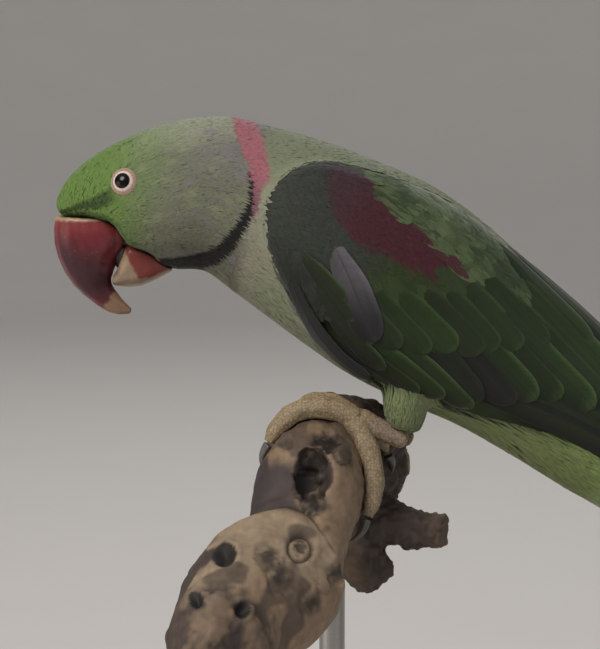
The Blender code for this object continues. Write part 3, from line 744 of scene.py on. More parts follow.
ragged = quadStation + dice.normal(0, 0.25, len(quads))  # mixes the feathers of neighbouring coats where they meet
isHead = (quadStation < 6.2) & (quadEye > 4.0)
wingLine = np.interp(quadStation, scapularStations, scapularEdge)
aboveWing = quadUp > wingLine
coverts = np.interp(quadUp, covertUps, covertEnds)
onBill = (belowBillEdge(quadPlaces) > 0.2) & (quadPlaces[:, 0] < -40)
neck = (quadStation >= 6.0) & (quadStation < 9.5) & ~quadWing
greySlot, greenSlot, wingSlot = "plumage_grey_green", "plumage_green", "wing_green"
coatRules = {"turn": 0.10, "seenAt": 0.72, "atWing": 0.45, "atTail": 1.3}  # unevenness, and shares of the length
usual = {"shape": plume, "slot": greenSlot, "surface": outlineSurface, "winged": False, "droop": 0, "even": 0.0}
vaned = {"shape": vane, "even": 1.0}
onWings = {"surface": smoothSurface, "winged": True}
coats = {  # sizes in mm; spread is how much the feathers' tones differ, and droop turns them down from the body's line
    "coat_face": dict(where=isHead & (ragged <= 3.3), spacing=0.47, length=(2.0, 3.6), width=0.7, thick=0.16,
                      spread=0.06),
    "coat_crown": dict(where=isHead & (ragged > 3.3) & (quadUp > 20), spacing=0.56, length=(3.8, 6.0), width=0.9,
                       thick=0.2, spread=0.05, slot=greySlot),
    "coat_cheeks": dict(where=isHead & (ragged > 3.3) & (quadUp <= 20), spacing=0.53, length=(3.4, 5.2), width=0.9,
                        thick=0.2, spread=0.05, slot=greySlot),
    "coat_breast": dict(where=neck & (quadLeg < 0.5) & (quadUp <= 20), spacing=0.85, length=(5.5, 8.5), width=1.2,
                        thick=0.24, spread=0.05, slot=greySlot),
    "coat_nape": dict(where=neck & (quadUp > 20), spacing=0.72, length=(5.5, 8.5), width=1.1, thick=0.24, spread=0.05,
                      slot=greySlot),
    "coat_thighs": dict(where=quadLeg >= 0.5, spacing=0.6, length=(4.0, 6.0), width=0.9, thick=0.2, spread=0.05),
    "coat_belly": dict(where=(quadStation >= 9.5) & (quadStation < 12.6) & ~quadWing & (quadLeg < 0.5), spacing=0.95,
                       length=(7, 12), width=1.5, thick=0.28, spread=0.06),
    "coat_tail_coverts": dict(vaned, where=(quadStation >= 12.4) & ~quadWing & ~underWing & ~onEnd, spacing=1.8,
                              length=(12, 17), width=4.2, thick=0.3, spread=0.07),
    "coat_scapulars": dict(vaned, **onWings, where=quadWing & aboveWing & (quadStation > 8.0) & (quadStation < 11.2),
                           spacing=2.3, length=(12, 17), width=5.5, thick=0.2, spread=0.12, droop=0.12),
    "coat_mantle": dict(onWings, where=quadWing & aboveWing & (quadStation < 11.0), spacing=0.85, length=(8, 13),
                        width=1.3, thick=0.16, spread=0.10, droop=0.1),
    "coat_coverts": dict(vaned, **onWings, where=quadWing & ~aboveWing & (quadStation > coverts - 1.0)
                         & (quadStation < coverts + 0.1), spacing=2.2, length=(9, 13), width=5.5, thick=0.2,
                         spread=0.12, droop=0.35, slot=wingSlot),
    "coat_wing": dict(where=quadWing & (ragged < coverts) & (quadUp <= wingLine + 2), spacing=0.72, length=(5.0, 8.0),
                      width=1.7, thick=0.14, spread=0.07, droop=0.12, winged=True, slot=wingSlot),
}
for coatName, ownCoat in coats.items():
    coat = usual | ownCoat
    isVane = coat["shape"] is vane
    places, normals = onOutline(rootsIn(coat["where"] & ~onBill, coat["spacing"], coat["even"]), coat["surface"])
    count = len(places)
    station, up, out = whereOnBody(places)
    ways = lieOf(places, normals, station, up, out)
    turn = np.where(places[:, 1:2] > 0, -1, 1) * coat["droop"] + dice.normal(0, coatRules["turn"], (count, 1))
    ways = unit(ways + np.cross(ways, normals) * turn)
    small = np.interp(station, (0, 1.5, 3.3, 6), (0.55, 0.8, 1, 1))  # the shortest feathers stand round the bill
    lengths = dice.uniform(*coat["length"], count) * small
    widths = coat["width"] * dice.uniform(0.75, 1.25, count) * np.sqrt(small)
    # each feather takes its colour from the part that others leave bare
    seen = onOutline(places + ways * (lengths * coatRules["seenAt"])[:, None], coat["surface"])[0]
    seenAt = whereOnBody(seen)
    lengths = lengths * (1 + coatRules["atTail"] * ease(station, 15.2, 16.6) * isVane)
    if not coat["winged"]:  # the body's feathers stop short at the wing's edge
        lengths = np.where(isWing(seen, *seenAt), lengths * coatRules["atWing"], lengths)
    tone = plumageAt(seen, *seenAt, coat["winged"])
    tone = tone * np.exp(dice.normal(0, coat["spread"], (count, 1)) + dice.normal(0, 0.03, (count, 3)))
    ownMap = unwrapOf(places, station, up, station.min(), station.max() + 1e-6)
    piece = sheathe(coatName, coat["shape"], places, normals, ways, lengths, widths, coat["thick"],
                    coatDepth(station, up, out), tone, ownMap, firmFeathers if isVane else softFeathers,
                    coat["surface"])
    finish(piece, coat["slot"])

skin.data.materials.clear()
skin.data.materials.append(featherVane("down under the feathers, short and dull", 0.7, 0.05, 0.2, 0.9, 0.1))
finish(skin, greenSlot, *fleshNodes)

# The big feathers of the folded wing, one by one

quillShape = {  # heights in mm; a blade is sunk at its root, arched across, raised at its tip, and ridged by its shaft
    "columns": (-1, -0.9, -0.6, -0.3, -0.08, 0, 0.08, 0.3, 0.6, 0.9, 1), "rows": 22, "thick": 0.28, "sink": 0.9,
    "arch": 0.35, "rise": 0.2, "shaft": 0.12,
}
quillTones = {  # outer web, inner web and edge
    "green": ("#1f3014", "#131c0e", "#445934"), "deep": ("#1e2915", "#141a13", "#3f5035"),
    "slate": ("#181f18", "#131916", "#363f34"), "violet": ("#1c2022", "#15171b", "#353639"),
    "pale": ("#313034", "#272629", "#4c4a51"), "dark": ("#16191b", "#151617", "#585951"),
    "fresh": ("#283a19", "#182312", "#465d3a"),
}


def onWing(station, up, side, lift=0.0):
    return onBody(station, up, side, wingHeight(station, up) + lift)


def quillBlade(top, ups, thick, tone, base):
    # closes a grid of places into a thin blade and returns its places, faces and colours
    rows, columns = top.shape[:2]
    under = top - ups * thick
    places = np.concatenate((top.reshape(-1, 3), under.reshape(-1, 3)))
    grid = np.arange(rows * columns).reshape(rows, columns)
    a, b, c, d = grid[:-1, :-1], grid[:-1, 1:], grid[1:, 1:], grid[1:, :-1]
    upper = np.stack((a, b, c, d), -1).reshape(-1, 4)
    lower = upper[:, ::-1] + rows * columns
    rim = np.concatenate((grid[0, :-1], grid[:-1, -1], grid[-1, :0:-1], grid[:0:-1, 0]))
    after = np.roll(rim, -1)
    edge = np.stack((rim, rim + rows * columns, after + rows * columns, after), 1)
    faces = np.concatenate((upper, lower, edge)) + base
    return places, faces, np.concatenate((tone.reshape(-1, 3), tone.reshape(-1, 3) * 0.7))


class Quills:
    # gathers blades into one piece, each side of each with its own patch of the map
    def __init__(self, name, slotName):
        self.name, self.slotName, self.parts, self.count = name, slotName, [], 0

    def add(self, side, top, ups, flat, tone, thick):
        if side > 0:  # the right side's grids run the other way
            top, ups, flat, tone = (value[:, ::-1] for value in (top, ups, flat, tone))
        self.parts.append(quillBlade(top, ups, thick, tone, self.count) + (flat, ups))
        self.count += top.shape[0] * top.shape[1] * 2

    def build(self, material, softness=0.25):
        across = math.ceil(math.sqrt(len(self.parts) * 2))
        maps, normals = [], []
        for k, (_, _, _, flat, ups) in enumerate(self.parts):
            low, high = flat.min((0, 1)), flat.max((0, 1))
            share = (flat - low) / (high - low)
            for face in range(2):
                spot = np.array(divmod(2 * k + face, across))
                maps.append(((spot + 0.05 + share * 0.9) / across).reshape(-1, 2))
            normals += [ups.reshape(-1, 3), -ups.reshape(-1, 3)]
        flats = [np.tile(flat.reshape(-1, 2), (2, 1)) for _, _, _, flat, _ in self.parts]
        places, faces, tones = (np.concatenate([part[k] for part in self.parts]) for k in range(3))
        print(self.name, len(self.parts), "feathers", len(faces) * 2, "triangles")
        piece = meshOf(self.name, places, faces, tones, {"OFBake": np.concatenate(maps),
                       "vane": np.concatenate(flats) / 10}, material)
        soften(piece.data, np.concatenate(normals), softness)
        return finish(piece, self.slotName)


def featherOutline(t, length, width, taper):
    # the half width of a feather along its length: narrow at the root, widest past the middle, round at the tip
    roundFrom = 1 - taper * width / length
    tip = np.sqrt(np.clip(1 - (np.clip(t - roundFrom, 0, None) / (1 - roundFrom)) ** 2.2, 0.0004, 1))
    return width / 2 * (0.45 + 0.55 * ease(t, 0, 0.55)) * tip


def quillTint(x, t, toneName, shaft, places, edge, plain):
    # the blade's colours at x across it and t along it; edge brightens its rim, and plain evens it out
    web, inner, rim = (linear(code) for code in quillTones[toneName])
    tone = np.broadcast_to(web, x.shape + (3,)).copy()
    tone += (inner - web) * ease(x, -0.15, 0.7)[..., None] * (1 - plain)
    nearTip = ease(t + 0.03 * (1 - np.abs(x)), 0.95, 1.0) * 0.3
    tone = over(tone, rim, np.maximum(ease(-x, 0.78, 1.0), nearTip) * edge * ease(t, 0.1, 0.4))
    tone *= (0.8 + 0.25 * ease(t, 0.1, 0.9))[..., None]
    tone *= (1 + 0.16 * (cloud(places.reshape(-1, 3), 5.0, 8).reshape(x.shape) - 0.5))[..., None]
    if toneName == "pale":  # a turned feather, with a painted highlight at its upper end
        tone *= (3.4 - 2.8 * ease(t, 0.25, 0.85))[..., None]
    return over(tone, shaft, bell(x, 0.06) * (0.7 - 0.45 * plain))


def wingQuill(quills, side, root, tip, width, lift, toneName, bend=0.0, lower=0.45, shaft="#1d2219", edge=1.0,
              tilt=0.3, taper=0.8, plain=0.0, shift=0.0):
    # one blade from root to tip, both given as station and degrees up; lift is how far it stands off the wing
    t = 1 - (1 - np.linspace(0, 1, quillShape["rows"])) ** 1.35
    x = np.array(quillShape["columns"], float)
    station = root[0] + (tip[0] - root[0]) * t
    up = root[1] + (tip[1] - root[1]) * t + bend * np.sin(math.pi * t)
    step = 0.02
    centre = onWing(station, up, side)
    alongS = (onWing(station + step, up, side) - centre) / step
    alongE = onWing(station, up + 1, side) - centre
    ups = unit(np.cross(alongS, alongE)) * -side
    run = unit(np.gradient(centre, axis=0))
    sideways = unit(np.cross(ups, run)) * side
    length = np.linalg.norm(np.diff(centre, axis=0), axis=1).sum()
    half = featherOutline(t, length, width, taper)
    webs = np.where(x < 0, lower * 2, (1 - lower) * 2)
    reach = half[:, None] * (x * webs)[None]
    # the same reach as steps in station and degrees
    m11, m12, m22 = dot(alongS, alongS)[:, 0], dot(alongS, alongE)[:, 0], dot(alongE, alongE)[:, 0]
    r1, r2 = dot(alongS, sideways)[:, 0], dot(alongE, sideways)[:, 0]
    det = m11 * m22 - m12 ** 2
    dS, dE = (r1 * m22 - r2 * m12) / det, (r2 * m11 - r1 * m12) / det
    s = station[:, None] + dS[:, None] * reach
    e = up[:, None] + dE[:, None] * reach
    grow = ease(t, 0, 0.25)[:, None]
    height = lift - quillShape["sink"] * (1 - grow) - tilt * x[None] + quillShape["arch"] * (1 - x[None] ** 2) * grow
    height = height + quillShape["rise"] * t[:, None] ** 3 + quillShape["shaft"] * bell(x[None], 0.07)
    top = onWing(s, e, side, height)
    allUps = np.repeat(ups[:, None], len(x), 1)
    grid = np.broadcast_to(x[None], s.shape), np.broadcast_to(t[:, None], s.shape)
    ownTone = quillTint(grid[0], grid[1], toneName, shaft, top * (1, -side, 1), edge, plain) * (1 + shift)
    flat = np.stack((reach, grid[1] * length), -1)
    quills.add(side, top, allUps, flat, ownTone, quillShape["thick"])


firm = {"edge": 0.7, "plain": 0.7, "tilt": 0.15, "taper": 0.7}
wingQuills = {  # root, tip, width, lift, tone and what differs
    "primaries": [
        ((9.6, -34), (13.6, 0), 8.0, -1.3, "deep", dict(lower=0.3)),
        ((9.8, -30), (14.3, 7), 8.0, -1.2, "deep", dict(lower=0.3)),
        ((10.0, -26), (15.0, 17), 8.0, -1.1, "dark", dict(lower=0.3)),
        ((10.2, -22), (15.6, 24), 8.0, -1.0, "deep", dict(lower=0.35)),
        ((10.4, -16), (16.0, 31), 8.0, -0.9, "deep", dict(lower=0.35)),
        ((10.6, -10), (16.3, 36), 8.0, -0.8, "green", dict(lower=0.35)),
        ((10.8, -4), (16.4, 41), 8.0, -0.7, "dark", dict(lower=0.4)),
    ],
    "secondaries": [
        ((8.0, -28), (10.0, -45), 9.0, -0.7, "deep", {}), ((8.4, -24), (10.35, -42), 9.5, -0.65, "green", {}),
        ((8.8, -16), (10.75, -38), 8.5, -0.6, "green", {}),
        ((9.1, -4), (10.95, -31), 11.0, -0.5, "slate", dict(edge=0.3)),
        ((9.5, 4), (11.35, -19), 9.5, -0.8, "dark", dict(edge=0.2)),
        ((9.5, 10), (11.7, -9), 10.0, -0.5, "green", {}), ((9.8, 17), (12.05, -1), 10.5, -0.45, "green", {}),
        ((10.1, 25), (12.45, 8), 10.5, -0.4, "green", {}), ((10.3, 33), (12.75, 16), 10.5, -0.35, "green", {}),
        ((10.4, 42), (13.1, 24), 10.5, -0.3, "fresh", {}), ((10.3, 50), (12.9, 34), 11.0, -0.2, "fresh", {}),
        ((10.0, 57), (12.2, 42), 11.0, -0.1, "fresh", {}),
        ((10.2, 66), (13.2, 50), 10.0, -0.25, "deep", dict(edge=0.6)),
        ((10.3, 73), (14.0, 60), 9.0, -0.3, "deep", dict(edge=0.6)),
    ],
    "greater_coverts": [
        ((7.7, -13), (8.9, -27), 8.0, -0.3, "deep", firm), ((8.0, -9), (9.3, -23), 9.0, -0.3, "deep", firm),
        ((8.4, -3), (9.75, -16), 10.0, -0.3, "green", firm), ((8.8, 2), (10.15, -10), 10.5, -0.3, "green", firm),
        ((9.1, 8), (10.45, -4), 10.5, -0.3, "deep", firm), ((9.4, 14), (10.8, 3), 10.5, -0.3, "green", firm),
        ((9.6, 22), (11.1, 11), 11.0, -0.3, "green", firm), ((9.8, 31), (11.5, 20), 11.0, -0.3, "green", firm),
    ],
    "primary_coverts": [
        ((6.95, -14), (9.25, -50), 8.0, 0.1, "violet", dict(bend=-10, shaft="#18181c", edge=0.3)),
        ((7.2, -12), (9.35, -38), 7.0, -0.3, "deep", {}), ((7.3, -8), (8.95, -29), 6.5, -0.2, "deep", {}),
        ((7.2, -6), (8.55, -22), 6.0, -0.1, "deep", {}), ((7.1, -5), (8.2, -16), 5.5, 0.0, "deep", {}),
        ((7.62, 7), (9.15, -27), 10.5, 0.2, "pale", dict(edge=0.6, shaft="#2c2a2e", bend=1, tilt=0.1)),
    ],
}
quillFeathers = featherVane("flight feathers, long zipped vanes on a stiff shaft", 0.8, 0.05, 0.15, 0.5, 0.16)
for groupName, rows in wingQuills.items():
    quills = Quills(f"quills_{groupName}", wingSlot)
    jitter = dice.normal(0, 1, (len(rows), 4))
    for side, sign in sides:
        for (root, tip, width, lift, toneName, more), (a, b, c, d) in zip(rows, jitter):
            wingQuill(quills, sign, root, (tip[0] + 0.05 * a, tip[1] + 1.2 * b), width * (1 + 0.05 * c),
                      lift + 0.03 * d, toneName, shift=0.08 * d, **more)
    quills.build(quillFeathers)

print("tail")

tail = {"rows": 40, "thick": 0.45, "camber": 0.9, "roof": math.radians(17), "narrowing": 0.35, "shaft": 0.15}
tailTones = {"root": "#4f7a34", "middle": "#3f7a5a", "end": "#3f7f86", "tip": "#a5b06a", "inner": "#4a5a44",
             "shaft": "#20261c"}
tailFeathers = Quills("quills_tail", "tail_green")
for side, sign in sides:
    for order in range(6, 0, -1):  # the outer ones lie lowest
        low, high = boxOf(f"tail_feather_{side}_{order}")
        t = 1 - (1 - np.linspace(0, 1, tail["rows"])) ** 1.5
        x = np.array(quillShape["columns"], float)
        start = np.array((low[0], (low[1] + high[1]) / 2, high[2] - 2.0))
        end = np.array((high[0] - 1.5, sign * 4.0, low[2] + 1.0))
        inner, outer = min(abs(low[1]), abs(high[1])), max(abs(low[1]), abs(high[1]))
        run, length = unit(end - start), np.linalg.norm(end - start)
        width = (outer - inner) * (1 - tail["narrowing"] * ease(t, 0.3, 1.0))
        half = featherOutline(t, length, 1.0, 22.0 if order == 1 else 14.0) * width
        centre = start + (end - start) * t[:, None]
        sideways = unit(np.array((0, sign * math.cos(tail["roof"]), -math.sin(tail["roof"]))))
        up = unit(np.cross(run, sideways)) * -sign
        up = up if up[2] > 0 else -up
        reach = half[:, None] * x[None] * np.where(x > 0, 0.8, 1.2)[None]
        height = tail["camber"] * (1 - x[None] ** 2) * ease(t, 0, 0.1)[:, None] - 0.5
        height = height + tail["shaft"] * bell(x[None], 0.07)
        top = centre[:, None] + sideways * reach[..., None] + up * height[..., None]
        ups = np.broadcast_to(up, top.shape).copy()
        tone = over(wash(len(t), tailTones["root"]), tailTones["middle"], ease(t, 0.1, 0.5),
                    tailTones["end"], ease(t, 0.45, 0.8) * (1 if order < 3 else 0.5),
                    tailTones["tip"], ease(t, 0.88, 1.0) * 0.9)
        tone = over(np.repeat(tone[:, None], len(x), 1), tailTones["inner"], (ease(-x, 0.2, 0.9) * 0.6)[None])
        tone = tone * (1 + 0.2 * (cloud(np.abs(top).reshape(-1, 3), 6.0, 4).reshape(top.shape[:2]) - 0.5))[..., None]
        tone = over(tone, tailTones["shaft"], (bell(x, 0.06) * 0.8)[None])
        flat = np.stack((reach, np.broadcast_to((t * length)[:, None], reach.shape)), -1)
        tailFeathers.add(sign, top, ups, flat, tone, tail["thick"])
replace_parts(tailFeathers.build(quillFeathers, 0.1),
            *[f"tail_feather_{side}_{k}" for side, sign in sides for k in range(1, 7)])

print("eyes and bill")

eye = {"ball": 5.0, "pupil": 2.32, "iris": 3.15, "bulge": 0.25, "turns": 96, "ringTurns": 240}
eyeRing = {  # the lid's section, from the ball's edge over its rim and back under it
    "radii": (3.25, 3.22, 3.30, 3.42, 3.58, 3.76, 3.95, 4.12, 4.30, 4.42, 4.45, 4.1, 3.6, 3.3),
    "heights": (-0.5, 0.00, 0.16, 0.24, 0.25, 0.30, 0.26, 0.14, -0.10, -0.5, -0.9, -1.1, -1.0, -0.8),
}
# a glass eye's look: the wet clear coat gives a small sharp highlight over the dull iris
cornea, eyeTree, shader = newMaterial("wet cornea over a pale iris, as a glass eye shows it", Roughness=0.3,
                                      Coat_Weight=0.6, Coat_Roughness=0.03, IOR=1.38, Coat_IOR=1.38,
                                      Specular_IOR_Level=0.2)
plug(shader, Base_Color=addNode(eyeTree, "Attribute", {"attribute_name": "tint"}).outputs["Color"])
# bare skin lets a little light in, so its creases look soft
lidSkin, lidTree, shader = newMaterial("bare skin of the eye ring, finely creased", Roughness=0.55,
                                       Subsurface_Weight=0.15, Subsurface_Scale=0.001, Specular_IOR_Level=0.4)
tint = addNode(lidTree, "Attribute", {"attribute_name": "tint"})
crease = addNode(lidTree, "TexNoise", {"Scale": 1400.0, "Detail": 3.0})
bump = addNode(lidTree, "Bump", {"Strength": 0.4, "Distance": 0.0001}, Height=crease.outputs["Fac"])
plug(shader, Base_Color=tint.outputs["Color"], Normal=bump.outputs[0])


def lathed(radii, heights, turns):
    # rings round the z axis, from the first radius and height to the last, as places and quads
    angle = np.linspace(0, 2 * math.pi, turns, endpoint=False)
    places = np.stack((np.outer(radii, np.cos(angle)), np.outer(radii, np.sin(angle)),
                       np.repeat(np.asarray(heights)[:, None], turns, 1)), -1)
    grid = np.arange(len(radii) * turns).reshape(-1, turns)
    a, b = grid[:-1], np.roll(grid, -1, 1)[:-1]
    faces = np.stack((a, b, np.roll(grid, -1, 1)[1:], grid[1:]), -1).reshape(-1, 4)
    return places, faces, angle


for side, sign in sides:
    axis, centre = eyeNormal * (1, -sign, 1), eyeCentre * (1, -sign, 1)
    across = unit(np.cross((0, 0, 1.0), axis))
    spin = np.stack((across, np.cross(axis, across), axis))
    nearRadii = np.concatenate((np.linspace(0.02, 4.3, 90), np.linspace(4.4, 4.99, 10)))
    radii = np.concatenate((nearRadii, np.linspace(4.95, 0.05, 14)))
    heights = np.sqrt(np.maximum(eye["ball"] ** 2 - radii ** 2, 0))
    heights[len(nearRadii):] *= -1
    heights[:len(nearRadii)] += eye["bulge"] * bell(nearRadii, 2.6)
    places, faces, angle = lathed(radii, heights, eye["turns"])
    r, a = np.repeat(radii[:, None], eye["turns"], 1), np.repeat(angle[None], len(radii), 0)
    rays = cloud(np.stack((np.cos(a) * 14, np.sin(a) * 14, r * 1.2), -1).reshape(-1, 3), 1.0, 2).reshape(r.shape)
    iris = over(linear("#d9c9c0") * (0.78 + 0.35 * rays[..., None]), "#b08f86", ease(r, 2.7, 3.15) * 0.6)
    tone = over(np.broadcast_to(linear("#030303"), r.shape + (3,)),
                iris, ease(r, eye["pupil"] - 0.06, eye["pupil"] + 0.1),
                "#241715", ease(r, eye["iris"], eye["iris"] + 0.12))
    tone[len(nearRadii):] = linear("#3a2c2a")
    ball = meshOf(f"eyeball_{side}", places @ spin + centre, faces[:, ::-1], tone.reshape(-1, 3), None, cornea)
    finish(ball, "eye_dark", f"eye_{side}")
    # the eye ring
    radii, heights = np.array(eyeRing["radii"]), np.array(eyeRing["heights"])
    heights += np.sqrt(eye["ball"] ** 2 - np.minimum(radii, 4.4) ** 2)
    places, faces, angle = lathed(radii, heights, eye["ringTurns"])
    first = np.arange(eye["ringTurns"])
    last, after = first + (len(radii) - 1) * len(first), np.roll(first, -1)
    faces = np.concatenate((faces, np.stack((last, np.roll(last, -1), after, first), 1)))
    a = np.repeat(angle[None], len(radii), 0)
    lumps = cloud(np.stack((np.cos(a) * 9, np.sin(a) * 9, places[..., 2] * 2), -1).reshape(-1, 3), 1.0, 6)
    beads = np.sin(a * 44) * 0.5 + lumps.reshape(a.shape)
    outward = ease(radii, 3.5, 3.7) * (1 - ease(radii, 4.1, 4.3))
    places[..., 2] += 0.07 * beads * outward[:, None]
    tone = over(linear("#c3a394") * (0.72 + 0.3 * beads[..., None] * 0.5),
                "#5c4640", (1 - ease(radii, 3.25, 3.42))[:, None] * 0.8,
                "#8e7466", bell(radii, 0.08, 3.55)[:, None] * 0.7)
    lid = meshOf(f"eye_ring_{side}", places.reshape(-1, 3) @ spin + centre, faces[:, ::-1], tone.reshape(-1, 3), None,
                 lidSkin)
    finish(lid, "bill_red")


def carved(name, nodeNames, slotName, material, shape, bend=None, **size):
    # the nodes as one fine mesh, bent, then moved along its normals and coloured by shape
    piece = remade(name, nodeNames, **size)
    if bend:
        putPlaces(piece.data, bend(placesOf(piece.data)))
    places, normals = placesOf(piece.data), normalsOf(piece.data)
    offset, tone = shape(places, normals)
    putPlaces(piece.data, places + normals * offset[:, None])
    paint(piece.data, tone)
    piece.data.materials.clear()
    piece.data.materials.append(material)
    print(name, len(piece.data.polygons) * 2, "triangles")
    return finish(piece, slotName, *nodeNames)


def spreadBase(p):
    # the bill's base is as wide as the face that meets it, and its tip hooks down
    x, y, z = p.T
    corner = ease(x, -67, -58) * ease(z, 18, 29)
    hook = ease(12 - z, 0, 7) * ease(x, -64, -56)
    return np.stack((x + 4.6 * corner + 0.5 * hook, y * (1 + 0.2 * corner), z - 1.1 * hook), 1)


keelLine = np.array((  # z, and how far forward the bill's keel reaches there
    (4, 55.5), (8.3, 61.8), (11.9, 65.8), (16.7, 68.9), (22.4, 71.2), (28.2, 72.0), (32, 71.8)))
rearLine = np.array((  # the same for its cutting edge
    (5.6, 52), (8.6, 54.0), (11.7, 56.2), (13.7, 57.1), (16.7, 57.1), (19.4, 55.9), (25.2, 55.1), (28.8, 55.4)))


def upperBill(p, n):
    # deep red, painted light on top, painted shade low down, a painted keel sheen; pale cere, horn tip, paler cutting
    # edge
    x, y, z = p.T
    grain, big = cloud(p, 0.9, 1) - 0.5, cloud(p * (1, 1, 0.5), 4.0, 2) - 0.5
    low = ease((-x - 55) * 0.35 + (30 - z) * 0.75, 5, 13)
    low = low * (1 - 0.6 * ease(-z, -12, -6)) * (1 - ease(x, -59, -55) * 0.7)
    keel = ease(-x - np.interp(z, *keelLine.T), 0, 1.0)
    rear = ease(x + np.interp(z, *rearLine.T), -0.2, 0.9)
    tip = ease((x + 60.5) - 0.75 * (z - 5) + grain * 1.5, -0.4, 1.6)
    flecks = (cells(p, 1.1, 3)[0] < 0.16) & (z > 20)
    # the lighter top is painted light, the dark low side is painted shade, and the keel's band is a painted sheen
    tone = over(
        wash(len(p), "#5f1823"), "#73262a", ease(z, 25, 31),
        "#310f17", low * 0.9,
        "#8b4651", keel * 0.35,
        "#8f4a4a", rear * (1 - ease(z, 27, 30)) * 0.55,
        "#836851", tip * 0.9,
        "#7d6a55", tip * ease(x, -54, -50) * 0.5,
        "#a2876e", ease(z + grain * 0.6, 31.4, 32.3),
        "#b98274", flecks * 0.22)
    growth = np.sin((np.hypot(x + 52, z - 32)) * 2.3 + big * 5)
    return 0.025 * growth + 0.05 * grain * ease(z, 4, 10), tone * (1 + 0.22 * big + 0.10 * grain)[:, None]


def openJaw(p):
    # the jaw's sides stand higher and wider than the part of them that the cheek leaves bare
    x, y, z = p.T
    rise = ease(z, 14, 21) * (1 - ease(x, -45, -39))
    return np.stack((x, y * (1 + 0.12 * rise), z + 3.0 * rise), 1)


def lowerBill(p, n):
    # horn-coloured in front and below, red behind
    x, y, z = p.T
    grain = cloud(p, 0.8, 4) - 0.5
    patch = ease(x - (-53.2 + (24.6 - z) * 0.45) + grain * 0.8, -0.3, 0.7)
    under = ease(z - np.interp(x, (-56, -50, -45, -40), (14.4, 14.0, 14.6, 17.0)) + grain * 0.5, -0.2, 0.8)
    tone = over(
        wash(len(p), "#877460"), "#6e2d29", patch * under,
        "#692728", patch * under * ease(x, -46, -39) * 0.6,
        "#8d745b", (1 - patch) * ease(z, 17, 21) * 0.5)
    return 0.04 * grain, tone * (1 + 0.15 * grain)[:, None]


def tongueFlesh(p, n):
    # near black: the tongue's own dark colour, and painted shade for the inside of the open bill
    grain = cloud(p, 0.7, 9) - 0.5
    return 0.08 * grain, wash(len(p), "#171413") * (1 + 0.5 * grain)[:, None]


def swollen(p):
    # fills more of the open bill, so its near-black tone stands as painted shade in the gap
    middle = (p.min(0) + p.max(0)) / 2
    return middle + (p - middle) * (1.25, 1.7, 1.6) + (0.3, 0, 1.2)


billHorn = hornMaterial("bill sheath of red keratin, polished by use", 0.4, 0.15, 260.0, Specular_IOR_Level=0.35)
carved("bill_sheath_upper", ["bill_upper"], "bill_red", billHorn, upperBill, spreadBase,
       grow=0.22, voxel=0.34, smoothing=26)
carved("bill_sheath_lower", ["bill_lower"], "bill_red", billHorn, lowerBill, openJaw,
       grow=0.2, voxel=0.3, smoothing=22)
tongueSkin = hornMaterial("dry dark tongue, leathery", 0.6, 0.0, 700.0)
carved("tongue_flesh", ["tongue"], "tongue_dark", tongueSkin, tongueFlesh, swollen,
       grow=0.1, voxel=0.25, smoothing=10)

print("feet")

clawSpots = ("inner_front", "outer_front", "inner_hind", "outer_hind")
clawPlaces = np.array([np.mean(boxOf(f"claw_{side}_{spot}"), 0) for side, sign in sides for spot in clawSpots])


def footScales(p, n):
    # small round scales over the toes, with dark lines between them and painted light on their upper faces; each toe
    # narrows to its claw
    first, second, value = cells(p, 0.95, 2)
    edge = ease(second - first, 0.04, 0.3)
    grain = cloud(p, 3.5, 6) - 0.5
    shank = ease(p[:, 0], 18, 27) * ease(p[:, 2], -36, -29) * (np.abs(p[:, 1]) < 24)
    tone = over(
        wash(len(p), "#958467") * (0.86 + 0.26 * value + 0.25 * grain)[:, None],
        "#857570", shank * 0.8,
        # painted light: paler where the skin faces up
        "#b9a67c", ease(n[:, 2], 0.3, 0.9) * 0.3,
        "#53483a", (1 - edge) * 0.6)
    fromClaw = np.linalg.norm(p[:, None] - clawPlaces[None], axis=2).min(1)
    return 0.11 * edge - 0.04 + 0.12 * grain - 1.3 * (1 - ease(fromClaw, 4.5, 9.0)), tone


def clawHorn(p, n):
    grain = cloud(p * (1, 1, 0.4), 0.6, 3) - 0.5
    return 0.04 * grain, wash(len(p), "#4a4744") * (1 + 0.5 * grain)[:, None]


footSkin = hornMaterial("scaled skin of the feet, dry", 0.62, 0.0, 900.0)
clawKeratin = hornMaterial("claw keratin, worn smooth", 0.35, 0.3, 500.0)
for side, sign in sides:
    carved(f"foot_{side}", [f"leg_{side}_foot"], "foot_skin", footSkin, footScales, grow=0.3, voxel=0.3, smoothing=34)
    clawNodes = [f"claw_{side}_{spot}" for spot in clawSpots]
    carved(f"claws_{side}", clawNodes, "claw_horn", clawKeratin, clawHorn, grow=0.1, voxel=0.22, smoothing=10)

print("perch and stand")

knots = (  # centre, radius and kind of each mark in the branch
    ((0.0, -64.5, -54.3), 4.0, "ring"), ((-20.4, -74.2, -54.3), 3.3, "hole"), ((-4.1, -31.0, -30.9), 2.3, "eye"),
    ((7.5, -28.0, -31.5), 4.4, "hollow"), ((3.6, -33.0, -36.5), 4.8, "hollow"), ((1.8, -36.1, -41.5), 5.0, "hollow"),
    ((4.0, -44.0, -45.5), 4.2, "hollow"), ((12.0, -31.5, -34.0), 2.8, "chip"), ((5.8, -37.0, -40.0), 2.0, "chip"),
    ((-8.8, -73.0, -54.6), 4.3, "stain"), ((-5.0, -78.5, -58.5), 4.8, "stain"), ((-17.5, -101.0, -72.0), 4.6, "stain"),
    ((-27.0, -92.0, -62.0), 2.0, "hole"), ((-15.0, -97.0, -63.5), 2.2, "hole"), ((10.0, -62.0, -62.0), 3.6, "stain"),
    ((3.5, -76.0, -67.0), 4.4, "stain"),
)
waist = np.array(((-14.0, -50.5), (-4.0, -49.5), (4.0, -51.0), (9.5, -56.0), (13.0, -64.0)))  # x, y of the knob's rim


